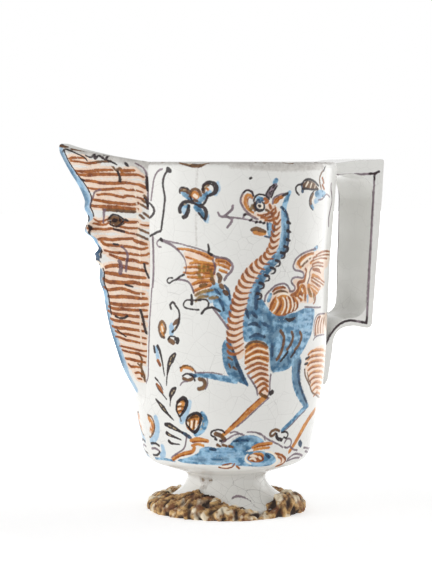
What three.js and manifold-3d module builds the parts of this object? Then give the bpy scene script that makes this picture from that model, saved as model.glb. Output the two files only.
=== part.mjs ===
// A tin-glazed earthenware pouring jug, as the potter puts it together: a thrown cup on a thrown
// hollow foot, a beak-shaped spout with a relief mask on its ridge, and a handle of three slabs.
// Millimetres, +Z up. The spout points to -X and the handle to +X. The origin is on the table,
// under the middle of the jug's overall length.
import * as THREE from "three";
import { mergeVertices } from "three/addons/utils/BufferGeometryUtils.js";
import Module from "manifold-3d";

const wasm = await Module();
wasm.setup();

// The layer of slip between two pieces that are luted together.
const SLIP = 0.3;

// Foot: a hollow trumpet, with a rough coil of bare clay round its edge.
const FOOT_HEIGHT = 22;
const STEM_RADIUS = 23;
const FOOT_RADIUS = 40;
const FOOT_EDGE = 4.5;
const FOOT_WALL = 5;
const COIL_WIDTH = 5.5;
const COIL_HEIGHT = 6.5;
const COIL_LUMPS = 0.7;
const COIL_CLIMB = 8;
const KNOB_HEIGHT = 5;

// Cup: outside radii at stations that are measured up from the foot.
const BODY_HEIGHT = 180;
const UNDERSIDE_RISE = 8;
const HEEL_ROUND = 8.5;
const HEEL_RISE = 17;
const HEEL_RADIUS = 49.5;
const HIP_RISE = 60;
const HIP_RADIUS = 57;
const WAIST_RISE = 118;
const WAIST_RADIUS = 59.7;
const RIM_RADIUS = 63.8;
const WALL = 5.5;
const FLOOR = 8;

// Spout: the ridge stands out from the cup's wall by these reaches, at drops below the rim.
const LIP_RISE = 10;
const SPOUT_REACH = 38.6;
const THROAT_DROP = 22;
const THROAT_REACH = 24;
const CHEEK_DROP = 66;
const CHEEK_REACH = 18;
const BEARD_DROP = 112;
const BEARD_REACH = 9.5;
const SPOUT_LENGTH = 139;
const SPOUT_HALF_WIDTH = 23.5;
const SPOUT_WALL = 5;
const TROUGH_DROP = 74;

// Mask: a fable creature's face along the ridge. Each feature is placed below the one above it.
const BROW_DROP = 27.5;
const NOSE_LENGTH = 14.5;
const UPPER_LIP = 10;
const CHIN_GAP = 3.7;
const BROW_ROLL = 4.2;
const BROW_SPREAD = 0.72;
const BROW_DROOP = 5;
const NOSE_WIDTH = 9;
const NOSE_PROUD = 3.2;
const EYE_LENGTH = 11;
const EYE_HEIGHT = 6.5;
const EYE_PROUD = 1.8;
const EYE_PLACE = 0.48;
const LIP_ROLL = 3.6;
const LIP_SPREAD = 0.24;
const MOUSTACHE_SPREAD = 0.5;
const MOUSTACHE_DROOP = 6;
const CHIN_WIDTH = 12;
const CHIN_HEIGHT = 9;
const CHIN_PROUD = 1.2;

// Handle: a strap of slab clay, with its corners mitred and its foot smoothed down the wall.
const HANDLE_REACH = 29;
const HANDLE_HEEL_REACH = 29;
const HANDLE_RISE = 1.6;
const ARM_DROP = 1;
const ARM_THICKNESS = 7;
const GRIP_THICKNESS = 6.4;
const GRIP_HEEL_THICKNESS = 4.6;
const GRIP_HEIGHT = 99;
const LOWER_ARM_THICKNESS = 5;
const TAIL_LENGTH = 33;
const TAIL_THICKNESS = 2.6;
const HANDLE_WIDTH = 44;
const HANDLE_FOOT_WIDTH = 37;
const TOP_FILLET = 16;
const HEEL_FILLET = 10;
const ELBOW_ROUND = 13;
const STRAP_BEVEL = 1.2;

// How finely the curves are faceted.
const TURNS = 48;
const SPOUT_RINGS = 20;
const SECTION_STEPS = 14;
const ROLL_STEPS = 16;

const RIM = FOOT_HEIGHT + BODY_HEIGHT;
const SPOUT_ROOT = RIM - SPOUT_LENGTH;
const FAR = 400;

const glaze = new THREE.MeshStandardMaterial({ color: 0xefece6, roughness: 0.18, metalness: 0 });
const bareClay = new THREE.MeshStandardMaterial({ color: 0x8c6a3f, roughness: 0.85, metalness: 0 });

// A closed three.js geometry as a solid for cutting and joining.
function solid(geometry) {
  const bare = new THREE.BufferGeometry();
  bare.setAttribute("position", geometry.getAttribute("position"));
  if (geometry.index) bare.setIndex(geometry.index);
  const merged = mergeVertices(bare, 1e-4);
  const corners = merged.index.array;
  const kept = [];
  for (let i = 0; i < corners.length; i += 3) {
    const [a, b, c] = [corners[i], corners[i + 1], corners[i + 2]];
    if (a !== b && b !== c && c !== a) kept.push(a, b, c);
  }
  return new wasm.Manifold(
    new wasm.Mesh({
      numProp: 3,
      vertProperties: merged.getAttribute("position").array,
      triVerts: new Uint32Array(kept),
    }),
  );
}

// A finished solid as a named mesh.
function piece(name, shape, material) {
  const cut = shape.getMesh();
  const geometry = new THREE.BufferGeometry();
  geometry.setAttribute("position", new THREE.BufferAttribute(cut.vertProperties, 3));
  geometry.setIndex(new THREE.BufferAttribute(cut.triVerts, 1));
  geometry.computeVertexNormals();
  const mesh = new THREE.Mesh(geometry, material.clone());
  mesh.name = name;
  return mesh;
}

// A profile of radius and height, thrown on the wheel: bottom to top on its outside.
function thrown(profile) {
  return solid(new THREE.LatheGeometry(profile, TURNS).rotateX(Math.PI / 2));
}

// Moves a profile along its normals, outwards where the distance is positive.
function offset(profile, distance) {
  return profile.map((point, i) => {
    const before = profile[Math.max(i - 1, 0)];
    const after = profile[Math.min(i + 1, profile.length - 1)];
    const along = after.clone().sub(before).normalize();
    return new THREE.Vector2(point.x + along.y * distance, point.y - along.x * distance);
  });
}

// Joins rings of points, each a closed outline, into one solid with flat ends.
function loft(rings) {
  const count = rings[0].length;
  const points = rings.flat();
  const faces = [];
  for (let ring = 0; ring + 1 < rings.length; ring++) {
    for (let i = 0; i < count; i++) {
      const a = ring * count + i;
      const b = ring * count + ((i + 1) % count);
      faces.push(a, b, a + count, b, b + count, a + count);
    }
  }
  for (const end of [0, rings.length - 1]) {
    const middle = rings[end].reduce((sum, p) => sum.add(p), new THREE.Vector3()).divideScalar(count);
    points.push(middle);
    for (let i = 0; i < count; i++) {
      const a = end * count + i;
      const b = end * count + ((i + 1) % count);
      if (end === 0) faces.push(b, a, points.length - 1);
      else faces.push(a, b, points.length - 1);
    }
  }
  const geometry = new THREE.BufferGeometry().setFromPoints(points);
  geometry.setIndex(faces);
  return solid(geometry);
}

// Everything on one side of a plane, as a large block: what lies ahead of the point along the normal.
function beyond(point, normal) {
  const block = new THREE.BoxGeometry(FAR, FAR, FAR).translate(0, 0, FAR / 2);
  const turn = new THREE.Quaternion().setFromUnitVectors(new THREE.Vector3(0, 0, 1), normal);
  block.applyQuaternion(turn).translate(point.x, point.y, point.z);
  return solid(block);
}

// Cup

// The outside of the cup, from its seat on the foot to where the lip starts to round over.
function cupOutside() {
  const wall = new THREE.Path();
  wall.moveTo(STEM_RADIUS, FOOT_HEIGHT);
  wall.lineTo(HEEL_RADIUS - HEEL_ROUND, FOOT_HEIGHT + UNDERSIDE_RISE - HEEL_ROUND / 4);
  wall.quadraticCurveTo(HEEL_RADIUS - 1, FOOT_HEIGHT + UNDERSIDE_RISE, HEEL_RADIUS, FOOT_HEIGHT + HEEL_RISE);
  wall.splineThru([
    new THREE.Vector2(HIP_RADIUS, FOOT_HEIGHT + HIP_RISE),
    new THREE.Vector2(WAIST_RADIUS, FOOT_HEIGHT + WAIST_RISE),
    new THREE.Vector2(RIM_RADIUS, RIM - WALL / 2),
  ]);
  return wall.getPoints(4);
}

const outside = cupOutside();

// The outside radius of the wall at a height. Above the rim it stays as it is at the rim.
function wallRadius(height) {
  for (let i = 1; i < outside.length; i++) {
    const [low, high] = [outside[i - 1], outside[i]];
    if (height <= high.y && height >= low.y) {
      return THREE.MathUtils.mapLinear(height, low.y, high.y, low.x, high.x);
    }
  }
  return height > RIM / 2 ? RIM_RADIUS : HEEL_RADIUS;
}

// The space that the cup takes up, grown by a clearance, for seating pieces against it.
function cupSpace(clearance) {
  const skin = offset(outside, clearance);
  const top = RIM + 2 * LIP_RISE;
  return thrown([
    new THREE.Vector2(0, skin[0].y),
    ...skin,
    new THREE.Vector2(RIM_RADIUS + clearance, top),
    new THREE.Vector2(0, top),
  ]);
}

function makeCup() {
  const floor = FOOT_HEIGHT + FLOOR;
  const inside = offset(outside, -WALL).filter((point) => point.y > floor);
  const lip = new THREE.Path();
  lip.absarc(RIM_RADIUS - WALL / 2, RIM - WALL / 2, WALL / 2, 0, Math.PI, false);
  const cup = thrown([
    new THREE.Vector2(0, FOOT_HEIGHT),
    ...outside,
    ...lip.getPoints(6).slice(1, -1),
    ...inside.reverse(),
    new THREE.Vector2(0, floor),
  ]);
  return cup.subtract(troughSpace());
}

// Foot

// The outside of the foot, from the table up to its seat under the cup.
function footOutside() {
  const flare = new THREE.Path();
  flare.moveTo(FOOT_RADIUS, 0);
  flare.lineTo(FOOT_RADIUS, FOOT_EDGE);
  flare.quadraticCurveTo(STEM_RADIUS + 4, FOOT_HEIGHT / 2, STEM_RADIUS, FOOT_HEIGHT - 1.5);
  flare.lineTo(STEM_RADIUS, FOOT_HEIGHT);
  return flare.getPoints(7);
}

function makeFoot() {
  const hollow = new THREE.Path();
  hollow.moveTo(0, FOOT_HEIGHT - FOOT_WALL);
  hollow.quadraticCurveTo(STEM_RADIUS - FOOT_WALL, FOOT_HEIGHT - FOOT_WALL, FOOT_RADIUS - FOOT_WALL, 0);
  return thrown([...hollow.getPoints(6), ...footOutside(), new THREE.Vector2(0, FOOT_HEIGHT)]);
}

// How strongly a lump shows at one turn round the foot: 1 at its middle, 0 a few widths away.
function lump(turn, middle, width) {
  return Math.exp((Math.cos(turn - middle) - 1) / (width * width));
}

// A rough coil of bare clay round the edge of the foot. It climbs the flare on the spout's side, is
// worn thin in front, and has a knob left next to the thin place.
function makeCoil() {
  const coil = new THREE.TorusGeometry(FOOT_RADIUS, COIL_WIDTH, 10, TURNS);
  const place = coil.getAttribute("position");
  const point = new THREE.Vector3();
  for (let i = 0; i < place.count; i++) {
    point.fromBufferAttribute(place, i);
    const turn = Math.atan2(point.y, point.x);
    const ripple = 0.6 * Math.sin(5 * turn + 1) + 0.4 * Math.sin(11 * turn + 2.3);
    const climb = COIL_CLIMB * (lump(turn, -2.5, 0.55) + 0.5 * lump(turn, 1.4, 0.6));
    const knob = lump(turn, -0.5, 0.16);
    const worn = lump(turn, -1.15, 0.3);
    const out = (Math.hypot(point.x, point.y) - FOOT_RADIUS) / COIL_WIDTH;
    const up = point.z / COIL_WIDTH;
    const inward = Math.max(0.4 - out, 0) / 1.4;
    const width = COIL_WIDTH * (1 - 0.35 * worn) + COIL_LUMPS * (ripple + 1.5 * lump(turn, 2.8, 0.7));
    const height = COIL_HEIGHT * (1 - 0.4 * worn) + COIL_LUMPS * ripple + KNOB_HEIGHT * knob;
    const radius = FOOT_RADIUS + width * out - climb * inward;
    place.setXYZ(i, radius * Math.cos(turn), radius * Math.sin(turn), height * (0.28 + 0.72 * up) + climb * inward);
  }
  const seat = offset(footOutside(), SLIP);
  const foot = thrown([
    new THREE.Vector2(0, -FOOT_HEIGHT),
    new THREE.Vector2(seat[0].x, -FOOT_HEIGHT),
    ...seat,
    new THREE.Vector2(0, seat[seat.length - 1].y),
  ]);
  const table = beyond(new THREE.Vector3(0, 0, 0), new THREE.Vector3(0, 0, -1));
  return solid(coil).subtract(foot).subtract(table);
}

// Spout

const ridge = new THREE.SplineCurve([
  new THREE.Vector2(-SPOUT_WALL / 2, SPOUT_ROOT),
  new THREE.Vector2(BEARD_REACH, RIM - BEARD_DROP),
  new THREE.Vector2(CHEEK_REACH, RIM - CHEEK_DROP),
  new THREE.Vector2(THROAT_REACH, RIM - THROAT_DROP),
  new THREE.Vector2(SPOUT_REACH, RIM + LIP_RISE - SPOUT_WALL / 2),
  new THREE.Vector2(SPOUT_REACH, RIM + 2 * LIP_RISE),
]).getPoints(SPOUT_RINGS);

// How far the ridge stands out of the wall at a height.
function ridgeReach(height) {
  const above = ridge.findIndex((point) => point.y >= height);
  if (above <= 0) return ridge[Math.max(above, 0)].x;
  const [low, high] = [ridge[above - 1], ridge[above]];
  return THREE.MathUtils.mapLinear(height, low.y, high.y, low.x, high.x);
}

// Half of the spout's width where it meets the wall: full at the rim, closing to a point at its root.
function halfWidth(height) {
  const up = Math.max(height - SPOUT_ROOT, 0) / SPOUT_LENGTH;
  return SPOUT_HALF_WIDTH * Math.max(Math.pow(up, 0.35), 0.12);
}

// A point of the spout's skin. Across runs from -1 to 1, from one seam on the wall over the ridge to
// the other. The skin can be grown by a clearance, or shrunk to the trough.
function skin(height, across, grow = 0) {
  const wall = wallRadius(height);
  const half = Math.max(halfWidth(height) + grow, 1);
  const seam = Math.sqrt(wall * wall - half * half);
  const stand = wall + ridgeReach(height) + grow * 1.3 - seam;
  const rounded = 1 - Math.pow(Math.abs(across), 1.35);
  return new THREE.Vector3(-seam - Math.max(stand, 0.1) * rounded, half * across, height);
}

// A level ring of the spout's skin, closed behind the cup's wall.
function ring(height, grow) {
  const outline = [];
  for (let i = 0; i <= SECTION_STEPS; i++) outline.push(skin(height, 1 - (2 * i) / SECTION_STEPS, grow));
  const back = -HEEL_RADIUS / 2;
  const [first, last] = [outline[0], outline[SECTION_STEPS]];
  return [...outline, new THREE.Vector3(back, last.y, height), new THREE.Vector3(back, first.y, height)];
}

function spoutSpace(clearance) {
  return loft(ridge.map((point) => ring(point.y, clearance)));
}

// The trough inside the spout, which also cuts the notch in the cup's wall.
function troughSpace() {
  const floor = RIM - TROUGH_DROP;
  const heights = ridge.map((point) => point.y).filter((height) => height > floor + SPOUT_WALL);
  return loft([floor, ...heights].map((height) => ring(height, -SPOUT_WALL)));
}

// The lip is cut like a roof, from the tip down to the rim on either side.
function makeSpout() {
  const tip = new THREE.Vector3(0, 0, RIM + LIP_RISE);
  const falls = [1, -1].map((side) => new THREE.Vector3(0, side * LIP_RISE, SPOUT_HALF_WIDTH).normalize());
  return falls
    .reduce((shape, normal) => shape.subtract(beyond(tip, normal)), spoutSpace(0))
    .subtract(troughSpace())
    .subtract(cupSpace(SLIP));
}

// Mask

const BROW = RIM - BROW_DROP;
const NOSE_BASE = BROW - NOSE_LENGTH;
const EYE_LINE = BROW - NOSE_LENGTH / 2;
const MOUTH = NOSE_BASE - UPPER_LIP;
const CHIN = MOUTH - LIP_ROLL / 2 - CHIN_GAP - CHIN_HEIGHT / 2;

// A roll of clay laid over the ridge from one cheek to the other, thinner towards its ends. It lifts
// beside the ridge and droops at the ends.
function roll(height, spread, lift, droop, thickness) {
  const route = [];
  for (let i = -4; i <= 4; i++) {
    const aside = Math.abs(i / 4);
    route.push(skin(height + lift * aside - droop * aside * aside, (spread * i) / 4));
  }
  const curve = new THREE.CatmullRomCurve3(route);
  const frames = curve.computeFrenetFrames(ROLL_STEPS);
  const rings = frames.tangents.map((_, step) => {
    const aside = Math.abs((2 * step) / ROLL_STEPS - 1);
    const radius = (thickness / 2) * (1 - 0.5 * aside * aside);
    return Array.from({ length: 10 }, (_, corner) => {
      const turn = (corner * Math.PI) / 5;
      return curve
        .getPoint(step / ROLL_STEPS)
        .addScaledVector(frames.normals[step], radius * Math.cos(turn))
        .addScaledVector(frames.binormals[step], radius * Math.sin(turn));
    });
  });
  return loft(rings);
}

// The nose stands on the ridge, narrow at the brow and broad at its wings.
function noseSpace() {
  const out = (height, proud) => [-(wallRadius(height) + ridgeReach(height) + proud), height];
  const side = new THREE.Shape();
  side.moveTo(...out(BROW, -NOSE_WIDTH));
  side.lineTo(...out(BROW, 0.6));
  side.quadraticCurveTo(...out((BROW + NOSE_BASE) / 2, 1), ...out(NOSE_BASE + 3.5, NOSE_PROUD));
  side.quadraticCurveTo(...out(NOSE_BASE + 1, NOSE_PROUD + 0.6), ...out(NOSE_BASE, 0.8));
  side.lineTo(...out(NOSE_BASE, -NOSE_WIDTH));
  const nose = new THREE.ExtrudeGeometry(side, {
    depth: NOSE_WIDTH - 2,
    bevelSize: 1,
    bevelOffset: -1,
    bevelThickness: 1,
    bevelSegments: 2,
    curveSegments: 6,
  });
  nose.translate(0, 0, 1 - NOSE_WIDTH / 2).rotateX(Math.PI / 2);
  const place = nose.getAttribute("position");
  for (let i = 0; i < place.count; i++) {
    const down = THREE.MathUtils.clamp((BROW - place.getZ(i)) / (BROW - NOSE_BASE), 0, 1);
    place.setY(i, place.getY(i) * (0.45 + 0.55 * down));
  }
  return solid(nose);
}

// An egg of clay set into the skin at a height and a place across.
function bead(height, across, along, tall, proud) {
  const seat = skin(height, across);
  const turn = Math.atan2(skin(height, across + 0.02).y - seat.y, skin(height, across + 0.02).x - seat.x);
  const egg = new THREE.SphereGeometry(1, 14, 8).scale(along / 2, proud, tall / 2);
  return solid(egg.rotateZ(turn).translate(seat.x, seat.y, seat.z));
}

function makeMask() {
  const spout = spoutSpace(SLIP);
  const eye = (side) => bead(EYE_LINE, side * EYE_PLACE, EYE_LENGTH, EYE_HEIGHT, EYE_PROUD + SLIP);
  const features = {
    mask_brow: roll(BROW + BROW_ROLL / 2 + SLIP, BROW_SPREAD, BROW_DROOP, 1.7 * BROW_DROOP, BROW_ROLL),
    mask_nose: noseSpace(),
    mask_eye_left: eye(-1),
    mask_eye_right: eye(1),
    mask_moustache: roll(NOSE_BASE - LIP_ROLL / 2 - SLIP, MOUSTACHE_SPREAD, 0, MOUSTACHE_DROOP, LIP_ROLL),
    mask_lip: roll(MOUTH, LIP_SPREAD, 0, 0.5, LIP_ROLL),
    mask_chin: bead(CHIN, 0, CHIN_WIDTH, CHIN_HEIGHT, CHIN_PROUD + SLIP),
  };
  return Object.entries(features).map(([name, shape]) => piece(name, shape.subtract(spout), glaze));
}

// Handle

const HANDLE_TOP = RIM + HANDLE_RISE;
const HANDLE_BOTTOM = HANDLE_TOP - GRIP_HEIGHT;
const TAIL_END = HANDLE_BOTTOM - TAIL_LENGTH;

// The four corners of the strap, outside and inside, at the top and at the heel of the grip.
const topOuter = new THREE.Vector2(RIM_RADIUS + HANDLE_REACH, HANDLE_TOP);
const topInner = new THREE.Vector2(topOuter.x - GRIP_THICKNESS, RIM - ARM_DROP - ARM_THICKNESS + 1);
const heelOuter = new THREE.Vector2(wallRadius(HANDLE_BOTTOM) + HANDLE_HEEL_REACH, HANDLE_BOTTOM);
const heelInner = new THREE.Vector2(heelOuter.x - GRIP_HEEL_THICKNESS, HANDLE_BOTTOM + LOWER_ARM_THICKNESS);

// The whole strap from the side. Both ends run on into the cup's wall, where they are cut to fit it.
function strapSide() {
  const anchor = wallRadius(TAIL_END) - 2 * WALL;
  const elbow = HANDLE_BOTTOM - ELBOW_ROUND;
  const armUnder = RIM - ARM_DROP - ARM_THICKNESS;
  const side = new THREE.Shape();
  side.moveTo(anchor, RIM - ARM_DROP);
  side.lineTo(RIM_RADIUS, RIM - ARM_DROP);
  side.lineTo(topOuter.x - 2, topOuter.y);
  side.quadraticCurveTo(topOuter.x, topOuter.y, topOuter.x, topOuter.y - 2);
  side.lineTo(heelOuter.x, heelOuter.y + 2);
  side.quadraticCurveTo(heelOuter.x, heelOuter.y, heelOuter.x - 2, heelOuter.y);
  side.lineTo(wallRadius(HANDLE_BOTTOM) + ELBOW_ROUND, HANDLE_BOTTOM);
  side.quadraticCurveTo(
    wallRadius(elbow) + TAIL_THICKNESS, HANDLE_BOTTOM,
    wallRadius(elbow) + TAIL_THICKNESS, elbow,
  );
  side.lineTo(wallRadius(TAIL_END + 3) + 0.7 * TAIL_THICKNESS, TAIL_END + 3);
  side.lineTo(wallRadius(TAIL_END) + 0.4 * TAIL_THICKNESS, TAIL_END);
  side.lineTo(anchor, TAIL_END);
  side.lineTo(anchor, elbow + ELBOW_ROUND / 2);
  side.lineTo(wallRadius(elbow) - TAIL_THICKNESS, elbow + ELBOW_ROUND / 2);
  side.quadraticCurveTo(
    wallRadius(heelInner.y) + TAIL_THICKNESS, heelInner.y,
    wallRadius(heelInner.y) + ELBOW_ROUND, heelInner.y,
  );
  side.lineTo(heelInner.x - HEEL_FILLET, heelInner.y);
  side.quadraticCurveTo(heelInner.x, heelInner.y, heelInner.x + 0.4, heelInner.y + HEEL_FILLET);
  side.lineTo(topInner.x - 0.6, topInner.y - TOP_FILLET);
  side.quadraticCurveTo(topInner.x, topInner.y, topInner.x - TOP_FILLET, topInner.y);
  side.lineTo(anchor, armUnder);
  return side;
}

function strapSpace() {
  const strap = new THREE.ExtrudeGeometry(strapSide(), {
    depth: HANDLE_WIDTH - 2 * STRAP_BEVEL,
    bevelSize: STRAP_BEVEL,
    bevelOffset: -STRAP_BEVEL,
    bevelThickness: STRAP_BEVEL,
    bevelSegments: 2,
    curveSegments: 6,
  });
  strap.translate(0, 0, STRAP_BEVEL - HANDLE_WIDTH / 2).rotateX(Math.PI / 2);
  const place = strap.getAttribute("position");
  for (let i = 0; i < place.count; i++) {
    const width = THREE.MathUtils.mapLinear(
      place.getZ(i), HANDLE_BOTTOM, HANDLE_TOP, HANDLE_FOOT_WIDTH, HANDLE_WIDTH,
    );
    place.setY(i, (place.getY(i) * width) / HANDLE_WIDTH);
  }
  return solid(strap).subtract(cupSpace(SLIP));
}

// The strap is parted at its two mitred corners, each with a layer of slip in it.
function makeHandle() {
  const strap = strapSpace();
  const sides = (outer, inner) => {
    const across = new THREE.Vector3(inner.y - outer.y, 0, outer.x - inner.x).normalize();
    const middle = new THREE.Vector3(outer.x, 0, outer.y);
    const half = across.clone().multiplyScalar(SLIP / 2);
    return {
      ahead: beyond(middle.clone().add(half), across),
      behind: beyond(middle.clone().sub(half), across.clone().negate()),
    };
  };
  const top = sides(topOuter, topInner);
  const heel = sides(heelOuter, heelInner);
  return [
    piece("handle_top_arm", strap.intersect(top.ahead), glaze),
    piece("handle_grip", strap.intersect(top.behind).intersect(heel.ahead), glaze),
    piece("handle_lower_arm", strap.intersect(heel.behind), glaze),
  ];
}

const jug = new THREE.Group();
jug.add(
  piece("body", makeCup(), glaze),
  piece("foot_pedestal", makeFoot(), glaze),
  piece("foot_rim", makeCoil(), bareClay),
  piece("spout", makeSpout(), glaze),
  ...makeMask(),
  ...makeHandle(),
);
jug.position.x = -new THREE.Box3().setFromObject(jug).getCenter(new THREE.Vector3()).x;

export default jug;
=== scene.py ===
# %% [markdown]
# # A painted jug, piece by piece
# This lesson dresses a tin-glazed earthenware jug: a thrown cup on a hollow foot, a beak spout with a
# relief mask, a strap handle, and a rough ring of bare clay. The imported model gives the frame, and each
# piece is modelled in millimetres about the jug's upright axis and put into the frame at the end. Some of
# Blender's noise starts from the clock, so it gets a fixed seed, and every run gives the same jug.

import math

import bmesh
import bpy
import numpy as np
from mathutils import Matrix, Vector, noise


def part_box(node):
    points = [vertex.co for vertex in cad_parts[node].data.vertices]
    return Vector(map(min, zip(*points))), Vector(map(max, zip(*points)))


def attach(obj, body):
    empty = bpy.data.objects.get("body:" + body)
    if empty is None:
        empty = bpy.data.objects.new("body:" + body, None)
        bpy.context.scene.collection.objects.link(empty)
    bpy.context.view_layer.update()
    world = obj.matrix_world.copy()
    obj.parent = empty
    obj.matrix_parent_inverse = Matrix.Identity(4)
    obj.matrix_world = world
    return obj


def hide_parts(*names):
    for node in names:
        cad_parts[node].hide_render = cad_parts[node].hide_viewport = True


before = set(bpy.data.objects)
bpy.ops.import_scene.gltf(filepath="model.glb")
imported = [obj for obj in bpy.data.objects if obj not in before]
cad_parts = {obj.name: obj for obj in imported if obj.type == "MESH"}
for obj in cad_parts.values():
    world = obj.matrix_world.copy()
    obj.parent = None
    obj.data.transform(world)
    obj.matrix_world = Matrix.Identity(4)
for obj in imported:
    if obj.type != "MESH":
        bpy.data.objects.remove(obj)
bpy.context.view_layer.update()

SEED = 7
noise.seed_set(SEED)

MILLIMETRE = 0.001
body_low, body_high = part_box("body")
rim_radius = (body_high.y - body_low.y) / 2 / MILLIMETRE
rim_height = body_high.z / MILLIMETRE
foot_height = body_low.z / MILLIMETRE
axis_x = body_high.x - rim_radius * MILLIMETRE
INTO_FRAME = Matrix.Translation((axis_x, 0, 0)) @ Matrix.Scale(MILLIMETRE, 4)
print(f"rim: radius {rim_radius:.1f} mm at {rim_height:.1f} mm, axis at x = {axis_x / MILLIMETRE:.2f} mm")

# %% [markdown]
# ## From a bmesh to a piece
# Every piece ends the same way: it goes into the frame, gets smooth shading with sharp edges kept, and
# hides the nodes of the imported model that it stands for. One helper does that for all of them, and
# another merges doubles and turns the faces outwards, which spin and extrude don't do.


# %% Finishing a piece
def as_object(bm, name):
    mesh = bpy.data.meshes.new(name)
    bm.to_mesh(mesh)
    bm.free()
    made = bpy.data.objects.new(name, mesh)
    bpy.context.collection.objects.link(made)
    return made


def finish_piece(name, bm, nodes, sharp_angle=50):
    bmesh.ops.transform(bm, matrix=INTO_FRAME, verts=bm.verts)
    piece = as_object(bm, name)
    mesh = piece.data
    mesh.shade_smooth()
    mesh.set_sharp_from_angle(angle=math.radians(sharp_angle))
    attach(piece, "root")
    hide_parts(*nodes)
    mesh.calc_loop_triangles()
    print(f"{name}: {len(mesh.loop_triangles)} triangles")
    return piece


def clean(bm, merge=0.01):
    bmesh.ops.remove_doubles(bm, verts=bm.verts, dist=merge)
    bmesh.ops.dissolve_degenerate(bm, edges=bm.edges, dist=merge / 10)
    bmesh.ops.recalc_face_normals(bm, faces=bm.faces)


# %% [markdown]
# ## Curves
# A potter's profile is a few smooth sweeps. Two helpers give them: a curve that passes through its
# points, and a bend from one point to another round a corner. A third spaces points evenly.


# %% Curve helpers
def through(points, steps=6, closed=False):
    points = np.array(points, dtype=float)
    if closed:
        padded = np.vstack([points[-1], points, points[0], points[1]])
    else:
        padded = np.vstack([points[0], points, points[-1]])
    t = np.linspace(0, 1, steps, endpoint=False)[:, None]
    spans = []
    for before, start, end, after in zip(padded, padded[1:], padded[2:], padded[3:]):
        out = (end - before) / 2
        home = (after - start) / 2
        square = 3 * (end - start) - 2 * out - home
        cube = 2 * (start - end) + out + home
        spans.append(start + out * t + square * t**2 + cube * t**3)
    if not closed:
        spans.append(points[-1:])
    return np.vstack(spans)


def bend(start, corner, end, steps=8):
    start, corner, end = (np.array(point, dtype=float) for point in (start, corner, end))
    t = np.linspace(0, 1, steps + 1)[:, None]
    return start * (1 - t) ** 2 + corner * 2 * t * (1 - t) + end * t**2


def evenly(points, step):
    along = np.concatenate([[0], np.cumsum(np.hypot(*np.diff(points, axis=0).T))])
    places = np.linspace(0, along[-1], max(int(along[-1] / step), 1) + 1)
    return np.column_stack([np.interp(places, along, axis) for axis in points.T])


# %% [markdown]
# ## The cup's wall
# The cup was thrown on the wheel, so it is a profile turned about the axis. The outside starts where the
# cup sits on the foot, rolls over the heel and rises, slightly hollow in the middle, to a round lip. The
# inside follows at the wall's thickness down to a flat floor. A cylinder with loop cuts would do as well,
# but a profile can be asked for the wall's radius at a height, which the spout and the handle need.

# %% The profile of the cup
STEM_RADIUS = 23
HEEL_RADIUS = 49.5
WALL = 5.5
FLOOR = 8
hip = (57, foot_height + 60)
waist = (59.7, foot_height + 118)
heel = (HEEL_RADIUS, foot_height + 17)
lip_height = rim_height - WALL / 2

underside = np.array([(STEM_RADIUS, foot_height), (41, foot_height + 5.9)])
heel_roll = bend(underside[1], (HEEL_RADIUS - 1, foot_height + 8), heel)
side = through([heel, hip, waist, (rim_radius, lip_height)], 24)
outside = np.vstack([underside[:1], heel_roll, side[1:]])


def wall_radius(height):
    return np.interp(height, outside[:, 1], outside[:, 0])


def moved_inwards(profile, distance):
    along = np.gradient(profile, axis=0)
    along /= np.linalg.norm(along, axis=1)[:, None]
    return profile + distance * np.column_stack([-along[:, 1], along[:, 0]])


inside = moved_inwards(outside, WALL)
inside = inside[inside[:, 1] > foot_height + FLOOR + 1]
print(f"wall: radius {wall_radius(100):.1f} mm at 100 mm, {wall_radius(180):.1f} mm at 180 mm")

# %% [markdown]
# ## The spout's skin
# The spout is a sheet of clay bent into a beak and luted over a notch in the cup. Its skin runs from one
# seam on the wall over a ridge to the other seam. One formula gives a point of it at a height and a
# place across from -1 to 1, and the same formula, shrunk by the wall, gives the trough inside. The ridge
# stands off the cup by the first number of each pair, at a height above or below the rim.

# %% The skin formula
spout_low, spout_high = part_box("spout")
spout_tip = spout_high.z / MILLIMETRE
SPOUT_ROOT = rim_height - 139
SPOUT_HALF_WIDTH = 23.5
SPOUT_WALL = 5
SPOUT_TAPER = 0.35
TAIL_SHARE = 0.12
BEAK_SHARPNESS = 1.35
RIDGE_GROWTH = 1.3
LEAST_STAND = 0.1
LIP_FALL = (spout_tip - rim_height) / SPOUT_HALF_WIDTH
RIDGE_STANDS = ((9.5, -112), (18, -66), (25.6, -22), (33, -6), (37.2, 2))
spout_reach = (axis_x - spout_low.x) / MILLIMETRE - rim_radius
ridge = through(
    [(-SPOUT_WALL / 2, SPOUT_ROOT)]
    + [(stand, rim_height + above_rim) for stand, above_rim in RIDGE_STANDS]
    + [(spout_reach, spout_tip - SPOUT_WALL / 2), (spout_reach, spout_tip + 10)],
    12,
)


def half_width(height):
    up = np.maximum(height - SPOUT_ROOT, 0) / (rim_height - SPOUT_ROOT)
    return SPOUT_HALF_WIDTH * np.maximum(up**SPOUT_TAPER, TAIL_SHARE)


def skin(height, across, grow=0):
    wall = wall_radius(height)
    half = np.maximum(half_width(height) + grow, 1)
    seam = np.sqrt(wall**2 - half**2)
    ridge_radius = wall + np.interp(height, ridge[:, 1], ridge[:, 0]) + grow * RIDGE_GROWTH
    stand = np.maximum(ridge_radius - seam, LEAST_STAND)
    turned = np.abs(across)
    slope = stand * BEAK_SHARPNESS * np.sign(across) * turned ** (BEAK_SHARPNESS - 1)
    out = np.column_stack([-half, slope])
    out /= np.linalg.norm(out, axis=1)[:, None]
    points = np.column_stack([-seam - stand * (1 - turned**BEAK_SHARPNESS), half * across, height])
    return points, np.column_stack([out, np.zeros(len(points))]), np.hypot(half, stand)


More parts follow.
